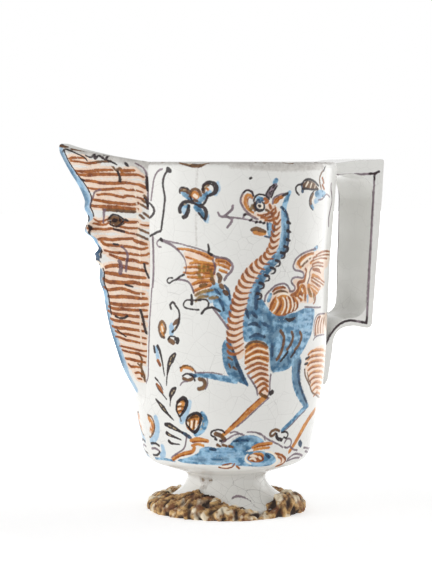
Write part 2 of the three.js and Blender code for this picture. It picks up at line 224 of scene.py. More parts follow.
tip_point = skin(np.array([spout_tip - 3]), np.array([0.0]))[0][0]
print(f"beak: reaches {-tip_point[0]:.1f} mm from the axis")

# %% [markdown]
# ## Sheets and cuts
# A sheet starts as a flat grid whose columns run across and whose rows run up, and each vertex is then
# moved to its place by a formula, as a slab is bent by hand. Where clay was cut away, a Boolean modifier
# cuts, and its result goes back into a bmesh.


# %% Sheet and cut helpers
FINE_MERGE = 0.002


def bent_sheet(columns, rows, place):
    bm = bmesh.new()
    bmesh.ops.create_grid(bm, x_segments=columns, y_segments=rows, size=0.5)
    flat = np.array([vert.co for vert in bm.verts])
    for vert, point in zip(bm.verts, place(flat[:, 0] * 2, flat[:, 1] + 0.5)):
        vert.co = point
    return bm


def cut_away(bm, cutter_bm):
    clay = as_object(bm, "clay")
    cutter = as_object(cutter_bm, "cutter")
    boolean = clay.modifiers.new("cut", "BOOLEAN")
    boolean.operation = "DIFFERENCE"
    boolean.object = cutter
    result = bmesh.new()
    result.from_object(clay, bpy.context.evaluated_depsgraph_get())
    for used in (clay, cutter):
        mesh = used.data
        bpy.data.objects.remove(used)
        bpy.data.meshes.remove(mesh)
    clean(result, FINE_MERGE)
    return result


# %% [markdown]
# The spout is open behind: a notch in the cup leads into its trough. The trough's face is the skin
# formula again, shrunk by the wall and flared a little at the lip. The tool that cuts the notch is such a
# face, pulled back into the cup, and it stays a hair larger than the trough, so no two faces coincide.


# %% The notch's cutter
TROUGH_FLOOR = rim_height - 74
LIP_FLARE = 1.6
FLARE_DEPTH = 2.5
NOTCH_GAP = 0.4
NOTCH_COLUMNS = 40
NOTCH_ROWS = 60
NOTCH_RISE = 6


def lip_line(across):
    return spout_tip - LIP_FALL * np.abs(across) * SPOUT_HALF_WIDTH


def trough_face(height, across, grow):
    points, out, _ = skin(height, across, grow)
    flare = LIP_FLARE * np.clip((height - lip_line(across) + FLARE_DEPTH) / FLARE_DEPTH, 0, 1) ** 2
    return points + out * flare[:, None]


def notch_place(across, up):
    height = TROUGH_FLOOR + up * (spout_tip + NOTCH_RISE - TROUGH_FLOOR)
    return trough_face(height, across, NOTCH_GAP - SPOUT_WALL)


def pulled_verts(bm):
    pulled = bmesh.ops.extrude_face_region(bm, geom=bm.faces[:])["geom"]
    return [item for item in pulled if isinstance(item, bmesh.types.BMVert)]


notch_cutter = bent_sheet(NOTCH_COLUMNS, NOTCH_ROWS, notch_place)
for vert in pulled_verts(notch_cutter):
    vert.co.x = -HEEL_RADIUS / 2
clean(notch_cutter)
print(f"notch: cut down to {TROUGH_FLOOR:.0f} mm by a tool of {len(notch_cutter.faces)} faces")

# %% [markdown]
# ## Brush strokes
# The painter works in metal oxides on the raw white glaze: cobalt for the blues, antimony and iron for
# ochre, rust and umber, and manganese for the thin mauve and the dark lines. A stroke is a few points on
# the wall, unrolled at one radius, in millimetres: the first number runs round the jug to the right of the
# middle of the front, and the second is the height. A stroke may change its width on the way, as a loaded
# brush does.

# %% The painter's strokes
UNROLLED_RADIUS = 60
FRONT = math.radians(-25)
SPOUT_PLACE = UNROLLED_RADIUS * (math.radians(-90) - FRONT)
HANDLE_PLACE = UNROLLED_RADIUS * (math.radians(90) - FRONT)
HALF_WAY_ROUND = math.pi * UNROLLED_RADIUS
wall_painting = []


def stroke(pigment, width, *points):
    wall_painting.append((pigment, width, np.array(points, dtype=float), False))


def strokes(pigment, lines):
    for line in lines:
        stroke(pigment, *line)


def patch(pigment, *points):
    wall_painting.append((pigment, 0, np.array(points, dtype=float), True))


def mirrored(painted, place):
    for pigment, width, points, closed in list(painted):
        wall_painting.append((pigment, width, points * (-1, 1) + (2 * place, 0), closed))


def tell(what):
    print(f"{what}: {len(wall_painting)} strokes so far")


# %% The ruffle beside the spout
strokes("mauve", [
    (1.1, (-36, 198), (-38, 197.3), (-40.5, 195), (-42.3, 191), (-43.2, 187), (-44.8, 180.5)),
    (1.6, (-44.8, 160), (-45, 152), (-45.4, 143), (-46.2, 136), (-46.8, 132)),
    (1.1, (-47.5, 131), (-48.7, 122), (-50, 112), (-51.3, 100), (-52.5, 90), (-54, 81), (-57, 77),
     (-61, 72.5)),
])
strokes("ink", [
    (2.6, (-32.4, 198), (-31.4, 197)),
    (1.4, (-32.5, 197.5), (-35, 194), (-36, 190), (-35.6, 186), (-35, 182), (-35.6, 178), (-36.3, 174),
     (-37.2, 170), (-38, 166.5), (-38.7, 163.8), (-41, 163), (-44, 161.8), (-47, 160.6)),
    ((1.2, 1.9, 1.2), (-46, 179), (-43.6, 177), (-42.8, 174.5), (-44.5, 172), (-47, 170.6)),
])
tell("ruffle")

# %% The flower next to it
strokes("blue", [
    (3.4, (-23.5, 185), (-20, 182.3)), (3.2, (-18.5, 181), (-15, 179.5)), (3.2, (-14, 181.5), (-9.5, 185)),
    (2.8, (-24.2, 178), (-21.5, 177.5)), ((3.6, 3, 1.4), (-16.5, 177), (-13.5, 173.5), (-11.7, 169.6)),
])
strokes("umber", [
    ((1.4, 2.6, 1.8), (-25.2, 186.2), (-23, 186.5), (-20.8, 185)),
    (1.6, (-20, 183), (-19.3, 186), (-17.2, 187), (-15, 186), (-14.2, 183.5)),
    (1.6, (-18, 180.8), (-16.2, 180.4)), (2.2, (-12.6, 185.5), (-12.2, 188.2), (-10.2, 189.5)),
])
strokes("ink", [
    (1, (-25.7, 184.8), (-25.6, 187.3), (-22.5, 187.8), (-20, 186)),
    (1.3, (-19.8, 182.6), (-18.3, 179.8), (-15.5, 178.2), (-12.5, 179), (-11, 181.5), (-10.4, 183.3)),
    ((1.4, 1.8, 2.8, 2.8, 1.6), (-13, 186.5), (-12.3, 189.3), (-10, 190.6), (-7.3, 190), (-5.9, 187.8),
     (-6.6, 185.2), (-9.5, 183.6)),
    ((1.5, 2.4, 2), (-18.3, 179.3), (-21, 180.2), (-24, 179.2), (-26, 176.7), (-26, 174.3)),
    ((1.5, 2.6, 2.4), (-20.8, 178), (-21.3, 175), (-22.5, 172.4), (-24, 171.5)),
    ((1.3, 2.2, 1.6), (-15.3, 177.6), (-12.2, 176.6), (-11.2, 173.3), (-11.8, 170.5)),
    (1.2, (-15.5, 174), (-13, 171)),
])
strokes("ochre", [(4.6, (-17.6, 184), (-16.8, 183.6)), (1.4, (-10.8, 187.6), (-10.2, 186.6))])
stroke("cream", 2, (-17.5, 183.5), (-16.5, 182.8))
strokes("wash", [(1.8, (-5, 190.4), (-4.4, 187), (-6.2, 184)), (2.6, (-24.4, 176.4), (-22.8, 173.4))])
for shade in [
    [(-13.6, 180.6), (-10.8, 183)], [(-15.6, 176), (-12.8, 172.4)], [(-23.4, 184.2), (-21, 182.6)],
]:
    stroke("shade", 1.8, *shade)
stroke("wash", 1.5, (-10.2, 172.6), (-10.8, 169))
tell("flower")

# %% The upper leaves of the spray
strokes("ink", [
    (1.4, (-33.4, 120.3), (-34, 122.5), (-32.3, 124.1), (-31, 123.2)),
    (1.2, (-30.6, 122.4), (-28.5, 119.8), (-28, 116.8), (-28.4, 114)),
    (1.4, (-28, 115.5), (-28.8, 112), (-31, 109), (-33, 107.5)),
    (2.2, (-30.8, 103.6), (-29.2, 103.4), (-29.8, 101.6)), (1, (-36, 103), (-34.6, 104.8), (-31, 104.8)),
    (1.7, (-47, 98.6), (-46.4, 95.4)),
    ((2.2, 1.9, 1.2, 0.8), (-44, 98.8), (-42.3, 96), (-40.8, 90), (-39.8, 82.3)),
    ((2.2, 4, 2.8, 0.9, 0.8), (-31.6, 95), (-34, 92), (-36, 88.5), (-37.8, 82.5), (-38.9, 77)),
    (1.3, (-47.5, 80.6), (-45.4, 79.2)), (0.9, (-47.4, 77), (-45.5, 74), (-42.4, 71.6), (-39.8, 69)),
    (0.9, (-45.4, 79), (-43.4, 77), (-42, 74.4)),
    ((1.4, 3.6, 3, 0.9, 0.8), (-32.3, 76), (-34.4, 74), (-36.2, 71.6), (-36.8, 68.5), (-37.6, 65.4)),
    ((1.2, 2.2, 3.6, 2, 0.8), (-49, 68.3), (-46.6, 66.4), (-43.4, 63.6), (-40.6, 61), (-36, 57.2)),
])
strokes("wash", [(3.2, (-33.2, 111), (-33.6, 106.6)), (2.8, (-45.2, 97.5), (-44.2, 92.3))])
strokes("umber", [
    ((1.6, 2.6, 1.6), (-28.8, 114.6), (-30.3, 113), (-31.8, 111.8)),
    (1.7, (-38.6, 104.2), (-40.8, 104.6), (-42.3, 107.5), (-42.2, 110.6), (-40.2, 113), (-38, 111.4),
     (-37.6, 108.4), (-38.6, 106.4)), (3, (-35, 102.8), (-32.6, 101.6)),
])
stroke("ochre", (1.5, 3.6, 1.5), (-40.2, 112), (-40, 108.5), (-39, 105))
stroke("cream", 1.2, (-40.2, 110), (-39.6, 107.6))
strokes("rust", [
    (2.3, (-44.2, 90.6), (-42.8, 88.4)), ((1.4, 2.8, 1.2), (-46.6, 77.2), (-44.4, 75), (-42.2, 72.2)),
])
tell("upper leaves")

# %% The large leaves of the spray
stroke("wash", 3.6, (-23.9, 68), (-25.3, 64), (-27.7, 60), (-30, 57))
strokes("ochre", [((3, 5, 3), (-28, 68), (-30, 65), (-31.6, 62.4)), (6.4, (-20.4, 58.4), (-24, 54.8))])
strokes("umber", [
    (1.6, (-32, 67.8), (-28.9, 69.2), (-26.1, 68.7)), (1, (-32.4, 65.1), (-29.9, 65.7), (-27, 65)),
    (0.9, (-32, 62.5), (-30, 63.2), (-28.2, 62.7)), (1.6, (-25.6, 57.2), (-22.4, 59.8), (-18.8, 60)),
    (1.1, (-24.4, 57.4), (-24.9, 53.4)), (1.2, (-21, 58), (-21.9, 52.8)),
])
strokes("cream", [
    (1.2, (-31.6, 66.5), (-29.6, 67)), (1.1, (-31.6, 63.8), (-30, 64.3)),
    (1.1, (-25.6, 56.4), (-25.6, 54.6)), (1.3, (-22.8, 57.2), (-23.4, 54)),
    (1.2, (-19.5, 57.4), (-20.4, 54.4)),
])
strokes("ink", [
    ((1.2, 1.4, 2.6, 2.2, 1.2), (-31.4, 59.6), (-33, 63.5), (-31.8, 67.5), (-27.8, 70.4), (-25.5, 69),
     (-25.8, 66), (-28.6, 62), (-31, 59.6)), (0.9, (-31, 59.6), (-30.4, 57)),
    ((1.3, 1.5, 2.4, 1.6, 2.2, 1.3), (-27, 55.6), (-26, 58.8), (-22.8, 61.2), (-18.6, 62), (-16.6, 60),
     (-17.4, 56.6), (-18.8, 53.4), (-21, 51.2), (-24, 52.2), (-27, 55.6)),
])
stroke("blue", 3.8, (-15.6, 61.4), (-14, 58.4), (-14.6, 55), (-17, 52.2), (-20.5, 50.4))
tell("large leaves")

# %% The lower leaves of the spray
strokes("ink", [
    ((2, 3.6, 2.6, 1.2), (-43.4, 54.2), (-39.5, 53.8), (-35, 52.2), (-30, 50.2)),
    ((2.6, 2.2, 1.5, 0.8), (-43, 49.2), (-41, 48.4), (-36.5, 47.3), (-31.6, 46)),
    ((2.2, 1.8, 1, 0.8), (-42.2, 44.6), (-40.6, 43.6), (-37, 43.3), (-33.4, 43.3)),
    (1.5, (-63, 41.4), (-57, 42), (-52.8, 41)), (1.4, (-63, 34.6), (-57, 35.2), (-52.8, 37.4)),
])
stroke("navy", (1.4, 2.6, 2), (-31, 50.6), (-28, 49.4), (-24.6, 47.6))
strokes("mauve", [
    (1.1, (-27.4, 48), (-28.4, 45), (-29.6, 42), (-32.4, 39.8), (-37, 37.6), (-42, 35)),
    (1.4, (-63, 38.4), (-58, 39), (-53.6, 38)),
])
strokes("ochre", [
    ((2, 3, 2.2), (-24.6, 46), (-21, 46.8), (-17, 46.8), (-13, 46.2)),
    (1.7, (-24, 43.2), (-20, 44.2), (-16, 43.4)),
    (2.4, (-22.4, 42), (-24.2, 39.6), (-27, 39), (-31, 38), (-36, 36.4), (-41, 34)),
    ((3, 5, 3), (-59.6, 56.4), (-57, 52.6), (-60, 48.6)),
])
strokes("rust", [
    (1, (-23.4, 45.2), (-18, 46), (-14, 45.6)), (0.9, (-25, 38.4), (-31, 37.2), (-37, 35.4), (-41, 33.6)),
])
strokes("wash", [
    (4.2, (-51.6, 57), (-51, 53), (-53, 48), (-57, 44.6), (-62, 42.4)),
    (4, (-49.2, 40.4), (-48.8, 37), (-52, 35.2)),
])
stroke("umber", 1.4, (-60.4, 58.2), (-56.4, 57.4), (-54.2, 54), (-55.2, 50), (-59.4, 46.6), (-63, 45))
strokes("cream", [(1.2, (-58.8, 53.6), (-58.8, 51)), (1.1, (-59.8, 48.8), (-61.4, 46))])
stroke("blue", 1.6, (-62, 32.6), (-50, 33.4), (-40, 33.2))
tell("lower leaves")

# %% Flecks of bare glaze in the leaves
for fleck in [
    [(-34.7, 91.6), (-34.1, 93)], [(-35.6, 89), (-34.8, 90.2)], [(-32.7, 93.7), (-32.2, 94.4)],
    [(-35.5, 72.4), (-34.8, 73.4)], [(-33.8, 74.2), (-33.4, 74.6)], [(-45.6, 65.6), (-44.4, 64.4)],
    [(-43.2, 63.4), (-42, 62.2)], [(-40.6, 53.7), (-38.6, 53.2)], [(-37, 52.8), (-35, 52)],
    [(-41.6, 48.5), (-40, 48)], [(-31.4, 109), (-31, 110)], [(-15.6, 59.6), (-15, 58.4)],
    [(-15, 56.4), (-15.2, 55.2)], [(-16.6, 53.4), (-17.4, 52.4)], [(-23.6, 186.6), (-22.4, 186.4)],
    [(-11.6, 188), (-10.8, 188.8)], [(-23.2, 178.6), (-22, 178.4)],
]:
    stroke("fleck", (0.9, 0.7), *fleck)
tell("flecks")

# %% [markdown]
# The ruffle, the flower and the spray stand on both sides of the spout, so their strokes are mirrored
# about it, and the flower by the handle is mirrored about the handle in the same way. The back of the jug
# is not seen in the picture, and this is all that it is given.

# %% The far side of the spout, and the flower by the handle
mirrored(wall_painting, SPOUT_PLACE)
handle_flower = len(wall_painting)
stroke("blue", 3.8, (56, 184), (60, 184.4), (64, 183.4))
patch("umber", (44, 189.4), (46.8, 191.6), (51.4, 191), (55.1, 188.7), (57.4, 186.4), (51.8, 186.6),
      (47.1, 187), (44.1, 187.6))
strokes("cream", [
    (1.1, (46.3, 188.4), (47.8, 190.6)), (1, (50, 187.6), (50.8, 190)), (0.8, (53.6, 187.4), (54, 188.6)),
    (0.9, (53.4, 182.6), (52.4, 180.2)),
])
strokes("ink", [
    (1.2, (41.5, 183.6), (39.5, 185.5), (39.2, 188), (41, 189.3), (43, 189.2)),
    (1.3, (43.6, 189.8), (45.5, 191.8), (49, 192.3), (53, 191), (57, 188.6)),
    (1.2, (43.8, 187), (48, 186.8), (52.8, 186.5), (57, 186.5)),
    (0.9, (53, 185.6), (50.4, 183), (49.8, 179.5), (50.8, 176.8), (53.2, 175)),
    (1.3, (63, 199.4), (61.5, 197.2)),
])
stroke("navy", 2.2, (43.2, 189.6), (44, 187.6), (44, 185.6))
stroke("wash", 3.4, (60.4, 184), (58.6, 181.8), (55.5, 180))
strokes("umber", [
    (2, (52.4, 184), (50.9, 181), (51.2, 178.6)),
    (1.2, (61.5, 197), (59.4, 196), (57.8, 193), (58.4, 190), (60.4, 186.6)),
])
stroke("blue", 2.4, (51.8, 177.6), (53.2, 176))
strokes("mauve", [
    (1, (58, 180.6), (62, 181), (65, 183), (68, 183.5), (72, 182)),
    (1.7, (73, 189.4), (73.6, 186), (76.4, 182.4), (77.4, 179), (75.4, 175), (73.4, 170), (74.4, 165.6)),
])
strokes("rust", [(1.4, (60.4, 193), (62.6, 190)), (1.4, (61, 189), (63.6, 186.6))])
mirrored(wall_painting[handle_flower:], HANDLE_PLACE)
tell("far sides")

# %% [markdown]
# ## The winged beast
# A fabulous long-necked beast with wings is stock ornament of this three-colour ware. The blue goes on
# first, then the ochre and rust feathers and rings, and the dark outline last. Closed patches fill the
# broad areas, strokes do the rest, and what repeats, such as the rings of the neck, is a loop.

# %% The beast's body
patch("blue", (9.5, 118.5), (12, 124), (16, 127.6), (20, 126), (23, 122), (27, 118), (34, 117.5),
      (42, 118), (50, 120), (58, 119.5), (60, 117), (59, 111), (57.4, 105), (54, 100.5), (50, 96),
      (46, 92), (41, 88), (36, 85.6), (30, 85), (27, 85.6), (25.6, 90), (25, 97), (22, 102), (16, 103.4),
      (10.6, 102.5), (9, 106), (8.8, 112))
for streak in [
    [(46, 112), (57, 112)], [(48, 108), (57, 107)], [(50, 104), (55.4, 103.4)], [(46, 116), (56, 116.6)],
]:
    stroke("wash", 1.5, *streak)
for shade in [
    [(12, 122), (15.6, 115.6), (18.6, 110), (16.2, 104)], [(20, 120), (24, 114), (26, 108)],
    [(27, 116), (34, 114.6), (42, 114.6)], [(22, 105), (28, 106), (31, 110)],
    [(26.6, 103), (27, 95), (28, 87)], [(30, 89), (36, 90), (41, 94)],
]:
    stroke("shade", (3, 5, 4), *shade)
for streak in [
    [(44, 114), (52, 110)], [(42, 111), (50, 106)], [(46, 116.6), (57, 112.8)], [(36, 112.4), (44, 108.6)],
]:
    stroke("wash", 0.9, *streak)
for blot in [
    [(10.4, 121), (12, 116)], [(14, 119), (17, 116)], [(20, 113), (24, 111)], [(26.4, 101), (26.8, 94)],
]:
    stroke("navy", (1.4, 2.2, 1.4), *blot)
strokes("navy", [
    ((1.2, 2.4, 1.2), (12, 112), (16, 112.6), (19, 110.6)),
    ((1.2, 2.4, 1.2), (13, 105), (17, 106.4), (22, 105)),
])
strokes("ink", [
    ((1.2, 2.4, 1.2), (35.4, 114.8), (38, 113.8), (42, 114.8)), (1.5, (37.4, 96), (35, 93.4), (32.6, 91)),
    (1.5, (43, 96), (40, 93)),
])
strokes("umber", [
    (2, (32, 108), (34.4, 104.6), (34, 100), (32.4, 95.4), (30, 92)),
    (1.9, (40, 107), (41, 104), (39.4, 100), (37, 97.4)),
    (1.9, (46.6, 106.6), (48, 104), (46, 99.6), (43, 97)),
])
tell("body")

# %% The neck, ringed with crescents
NECK = [(5, 97), (4.6, 104), (4.5, 110), (5.5, 118), (7, 124), (8.5, 129.5), (10.5, 134.5), (13.5, 139.5),
        (17, 143.5), (21, 147), (24, 150.5), (26, 155), (27, 160), (27.5, 165), (28, 170), (26.5, 174.5),
        (23, 177)]
NECK_WIDTHS = (9.6, 9.4, 9, 9.4, 9, 7, 5.4, 4.8, 4.8)
RING_GAP = 3.3
stroke("peach", NECK_WIDTHS, *NECK)
neck = evenly(through(NECK, 12), RING_GAP)
neck_half = np.interp(np.linspace(0, 1, len(neck)), np.linspace(0, 1, len(NECK_WIDTHS)), NECK_WIDTHS) / 2
for point, ahead, half in zip(neck, neck[1:], neck_half):
    forward = (ahead - point) / np.linalg.norm(ahead - point)
    aside = np.array([forward[1], -forward[0]]) * half
    stroke("rust", (1, 2, 1.5, 0.7), point - aside + forward * 1.3, point - aside * 0.75 - forward * 0.5,
           point - forward * 1.1, point + aside * 0.95 + forward * 1.1)
print(f"neck: {len(neck)} crescents")

# %% The mane
stroke("blue", (2.2, 3.4, 4.6, 5, 5, 6, 7), (35, 185.2), (33.4, 181.5), (32, 177), (32.2, 171), (33, 165),
       (32.4, 159), (31.2, 153.6), (28.4, 149.4), (25, 145.6), (22, 142), (19.4, 138.2), (17.4, 134),
       (15.6, 130), (14.6, 125), (14.2, 119))
stroke("shade", (2.4, 3.4, 4.4), (33.8, 166), (33.4, 158), (30, 150), (25, 144), (20.6, 138), (17.6, 131),
       (16, 123))
stroke("wash", 1.4, (31, 175), (31, 170), (31.4, 164), (31, 158))
stroke("navy", 1.6, (30.2, 177), (33.5, 173.6), (35, 169), (35.3, 164), (35.4, 159.5), (35, 155.5),
       (33.6, 152), (31.4, 149.6))
for knot_u, knot_v in [(36.2, 168.2), (36.4, 163.4), (36.2, 158.6)]:
    stroke("ink", (2.2, 1.2), (knot_u - 1.6, knot_v + 0.4), (knot_u + 0.4, knot_v - 0.4))
for knot_u, knot_v in [
    (35, 153.6), (32.9, 150.2), (29.9, 145.9), (27, 141.9), (23.5, 137.8), (20.4, 133.6), (19, 127.8),
]:
    stroke("ink", (1.8, 1.5, 1.2, 0.8), (knot_u - 2, knot_v + 1.6), (knot_u + 0.3, knot_v + 0.8),
           (knot_u + 0.2, knot_v - 1.2), (knot_u - 1.8, knot_v - 1.7))
stroke("navy", (1.6, 2.6, 2), (17.6, 133), (16.6, 127), (16.4, 121))
tell("mane")

# %% The head, its beak and eye
stroke("peach", 2.2, (8.8, 183.3), (8.1, 180.5), (9, 177.5), (11.5, 174.4), (14.9, 171.8))
stroke("ochre", (1.4, 1.9, 1.9, 1.4), (13.4, 182.6), (12.2, 183.7), (10.7, 183.7), (9.8, 182.3),
       (9.5, 179.9), (10.3, 177.5), (11.8, 175.6), (13.9, 174.1))
strokes("rust", [
    (0.8, (13.4, 181.8), (11.8, 182.5), (10.9, 181.6), (10.7, 179.6), (11.5, 177.6)),
    (2, (20.3, 181.7), (21.8, 180.4), (20.8, 179.5)), (1.7, (23.1, 178.2), (23.8, 176.5)),
])
stroke("olive", 2.2, (12.6, 175.9), (13.5, 177.9))
stroke("mauve", 1.2, (13.7, 183.4), (12.8, 185.8), (10.1, 186.4), (7.8, 183.9), (7, 180.8), (8.1, 177.5),
       (10.6, 174.4), (13.6, 172), (16.4, 170.5))
strokes("ink", [
    (1, (13.8, 183.2), (12.8, 185.6), (10.1, 186.3), (8.6, 185.2)),
    ((1, 1.9, 1), (15.6, 175.9), (17, 175.2), (18.8, 175.6)), (1.8, (17.2, 177.9), (17.5, 177.6)),
    (1.1, (14.8, 179), (15.3, 176.2), (17.3, 174.8), (19.7, 175.9), (20, 178.2), (19, 179.7)),
    (1.1, (14.1, 180.5), (14.8, 182.6), (17, 184.1), (20.3, 183.5), (22.7, 181.5)),
])
stroke("blue", 2.4, (16.5, 182), (18.6, 181.5))
strokes("navy", [
    (1, (15.6, 180.6), (18, 180.4), (19.8, 181)), (2, (15.4, 179.4), (15.3, 177.4), (15.9, 176)),
    (1.8, (16.6, 181), (17.6, 179.8)),
])
strokes("umber", [(1.3, (14.6, 179.6), (14.1, 177.4), (14.9, 175.3)), (1.6, (21, 175.6), (22.6, 174.8))])
stroke("cream", 2.8, (17.1, 177.8), (18.3, 177.5))
for cheek in [
    [(16.4, 172.8), (19.2, 172.5), (23, 173.7), (25.5, 175.8)],
    [(18.3, 171.4), (22.4, 171.2), (25.9, 173)], [(20.8, 169.9), (24.4, 169.7), (27.7, 171.2)],
]:
    stroke("rust", (1.1, 1.6, 1.2), *cheek)
    stroke("peach", 3, *cheek)
tell("beak and eye")

# %% The head, its ear, crest and tongue
patch("ochre", (25.1, 178.9), (25.6, 181.6), (28.2, 183.2), (31.4, 184), (31, 181.9), (29, 181),
      (27.7, 179.2))
strokes("rust", [
    (0.8, (25.7, 179.5), (26.8, 181.6), (29.9, 183)), (0.8, (26.9, 179.2), (28, 180.9), (30.6, 182.2)),
])
strokes("mauve", [
    (1.1, (24.8, 178.9), (25.3, 181.8), (28.1, 183.6), (31.4, 184.4)),
    ((4, 3.6, 2.4), (22.3, 183.9), (24.2, 186.9), (26, 189.2)),
])
strokes("ink", [
    ((1.5, 1.8, 1), (30.9, 183.4), (33, 184.3), (34, 184.9)),
    (0.8, (21.1, 184.1), (22.5, 187.4), (25.2, 189.5)), (0.9, (23.9, 182.3), (25.5, 186.2), (27.2, 188.7)),
])
stroke("blue", 2.7, (25.7, 190.4), (26.4, 191.8))
for dot in [(22.6, 186.7), (24.6, 187.6), (22.8, 185), (23.9, 185.6), (25.4, 188.6), (23.2, 184.1)]:
    stroke("ink", 0.9, dot, np.add(dot, (0.3, 0.4)))
strokes("mauve", [
    (1, (3, 171.5), (8, 170.8), (12, 170), (15.5, 169), (19.6, 168.5)),
    (1.2, (8.6, 171.6), (9.4, 173.2), (11.8, 172.9), (13.6, 171.6), (16.1, 170.5)),
])
for dot in [(9.1, 172.9), (12.4, 169.9), (15.5, 168.7), (17.7, 168.8), (19.9, 168.2), (12, 192.8)]:
    stroke("ink", 1.5, dot, np.add(dot, (0.5, 0.3)))
stroke("ochre", 2.6, (15, 163.3), (17.9, 162.6), (20.4, 162.8))
stroke("umber", (2, 2.6, 1.8), (13.4, 164.6), (15.6, 165.3), (18.4, 164.4), (20.8, 163.5))
patch("blue", (22.4, 168), (24, 168.6), (26.2, 165.4), (25.3, 161.7), (23.4, 160.8), (22.2, 163.2))
stroke("wash", 1.3, (24.6, 167), (24.8, 164), (24, 162))
strokes("navy", [
    (1.3, (20.9, 161), (22.4, 160.6), (24.2, 160.2)), (1.2, (22, 168.5), (22.4, 164.6)),
    (1.2, (26.6, 168.6), (26.2, 163.6)),
])
strokes("mauve", [
    (1.2, (-5, 174.2), (-3.8, 172.2), (-2, 171.8)),
    (1.4, (2.8, 178), (2.5, 176), (0, 173.5), (-2.6, 171.8)), (1, (-3, 171.8), (1, 171.6), (4, 171.4)),
    (1.4, (-1, 172), (2, 171), (2.2, 169), (0, 166)),
])
tell("head")

# %% The wing on the left, its feathers
patch("peach", (-24, 152.6), (-14, 150.6), (-7, 147.6), (-6.6, 136), (-9, 131), (-18, 127.4), (-20, 134),
      (-24, 140), (-23.6, 147))
patch("ochre", (-14, 146.6), (-8, 146), (-7.4, 139.6), (-12, 139.4), (-15.4, 142))
for widths, *feather in [
    ((1, 1.7, 2.6), (-28.6, 154), (-23.7, 153.9), (-18.6, 152.9), (-13.6, 151.3), (-8.7, 149.1)),
    (1, (-23.4, 149.6), (-20.1, 148.7), (-16.5, 147.6)),
    ((1.2, 2, 2.6), (-20.9, 145.9), (-16.6, 146.7), (-12.3, 146.1), (-7.1, 145.1)),
    ((1.1, 1.5, 2), (-24.4, 143.6), (-19.5, 144.1), (-13.8, 143.8), (-7.5, 143.5)),
    ((1.1, 1.6, 1.8), (-24.8, 140.9), (-19.6, 140.5), (-14.5, 141.4), (-7.5, 140.6)),
    ((1.1, 1.6, 1.5), (-22.6, 138.5), (-16.7, 138.2), (-9.6, 139)),
    ((1.4, 2.2, 1.8), (-19.6, 134.4), (-15.3, 136), (-8.9, 136.4)),
    ((1.2, 1.9, 1.7), (-18.9, 130.6), (-14.6, 132.7), (-9.3, 134.3)),
    ((2.4, 2.6, 2), (-5.4, 147.9), (-1.2, 147.4), (1.4, 145.4)),
    (1.5, (-4.8, 145.6), (-1.9, 144.7), (0.8, 143.4)), (1.5, (-4.1, 142.5), (-0.6, 141.2)),
]:
    stroke("ochre", np.multiply(widths, 1.15), *feather)
    stroke("rust", np.multiply(widths, 0.4), *np.add(feather, (0.3, -0.5)))
for dab in [
    [(-15.7, 145.2), (-15.4, 141.7)], [(-12.9, 145.4), (-13.1, 141.8)], [(-16.7, 140.6), (-14.6, 137.9)],
    [(-10.4, 145.4), (-11, 142.2)], [(-18, 128.5), (-13.2, 130.5), (-8.3, 131.4)],
    [(-18, 125.2), (-14.7, 127.5), (-10.8, 127.8)], [(-9.8, 126.9), (-5.8, 127.3)],
    [(-9.4, 142.4), (-8, 138.6)],
]:
    stroke("olive", (1.6, 2.2, 1.6), *dab)
for dab in [
    [(-5.1, 140.2), (-3.9, 138.4), (-4.4, 135.9)], [(-3.7, 134.2), (-2.6, 132.6)],
    [(-1.6, 130.8), (-0.2, 129)], [(-8.6, 137.6), (-7.6, 135)], [(-15, 133.4), (-12, 134.4)],
]:
    stroke("umber", (2.2, 2.8, 2), *dab)
tell("left wing's feathers")

# %% The wing on the left, its outline and shoulder
strokes("ink", [
    (2.2, (-38.9, 159), (-38.5, 158.6)), (1.3, (-24.6, 139.7), (-27, 138.7), (-29.4, 136.9)),
    (1, (-30, 136.6), (-32, 136), (-34.5, 134.6), (-35.8, 136), (-34.5, 137.5), (-32, 137.6)),
    ((1.2, 1.9), (-20.4, 128.6), (-20.3, 123.4)),
    (1, (-15, 125.6), (-19, 125.6), (-23.5, 125.5), (-25.5, 123), (-24, 121.2), (-20, 120.5),
     (-16, 120.3)), (1.1, (-16, 126), (-12, 126), (-10.5, 124), (-11, 121.6)),
    (1.4, (-14.6, 118.2), (-12, 121), (-8, 121.6), (-4, 119.6)),
    ((1, 1.8), (-10.5, 156.6), (-10, 154), (-10.3, 152), (-8.6, 151)),
])
strokes("mauve", [
    (1, (-39, 159.2), (-41, 158.2), (-42, 156.5), (-41, 155), (-39, 154.7)),
    (0.9, (-38.5, 159), (-33, 157.8), (-27, 156.8), (-20, 155.2), (-14, 153.5), (-9.5, 151.5), (-6, 149)),
    ((1.6, 1.4, 0.8, 0.8), (-38.5, 158.5), (-33, 156.5), (-29, 154), (-26, 151), (-24, 148), (-23.2, 144),
     (-24, 140.6)), (1.2, (-30, 136.8), (-26, 136.8), (-22, 135.5), (-20, 132.5), (-19, 129.5)),
    (1.5, (-9.5, 151.4), (-6, 149.7), (-1, 148.9), (2, 146.7), (3, 144), (2, 141.5), (0, 139.5),
     (-1.5, 137)), (1.2, (-8, 148), (-6.6, 144), (-7.4, 140.6)),
])
patch("blue", (-9.5, 133), (-8, 135.5), (-5, 135), (-3, 132), (0, 131), (2, 128.5), (2.6, 124), (2, 117),
      (0, 113), (-2, 115), (-5, 119), (-7.5, 122.5), (-9, 127), (-12, 129))
stroke("wash", 2, (-15, 129), (-11, 127.6), (-9, 125))
for shade in [
    [(-1.5, 134), (0.5, 131), (1.5, 126)], [(-6, 128), (-3, 124), (-2, 120)], [(-7, 132), (-4, 129)],
]:
    stroke("navy", (1.2, 2, 1.2), *shade)
stroke("mauve", 1.3, (-8.6, 122), (-5.4, 118), (-2, 113.6), (0.4, 110))
tell("left wing")

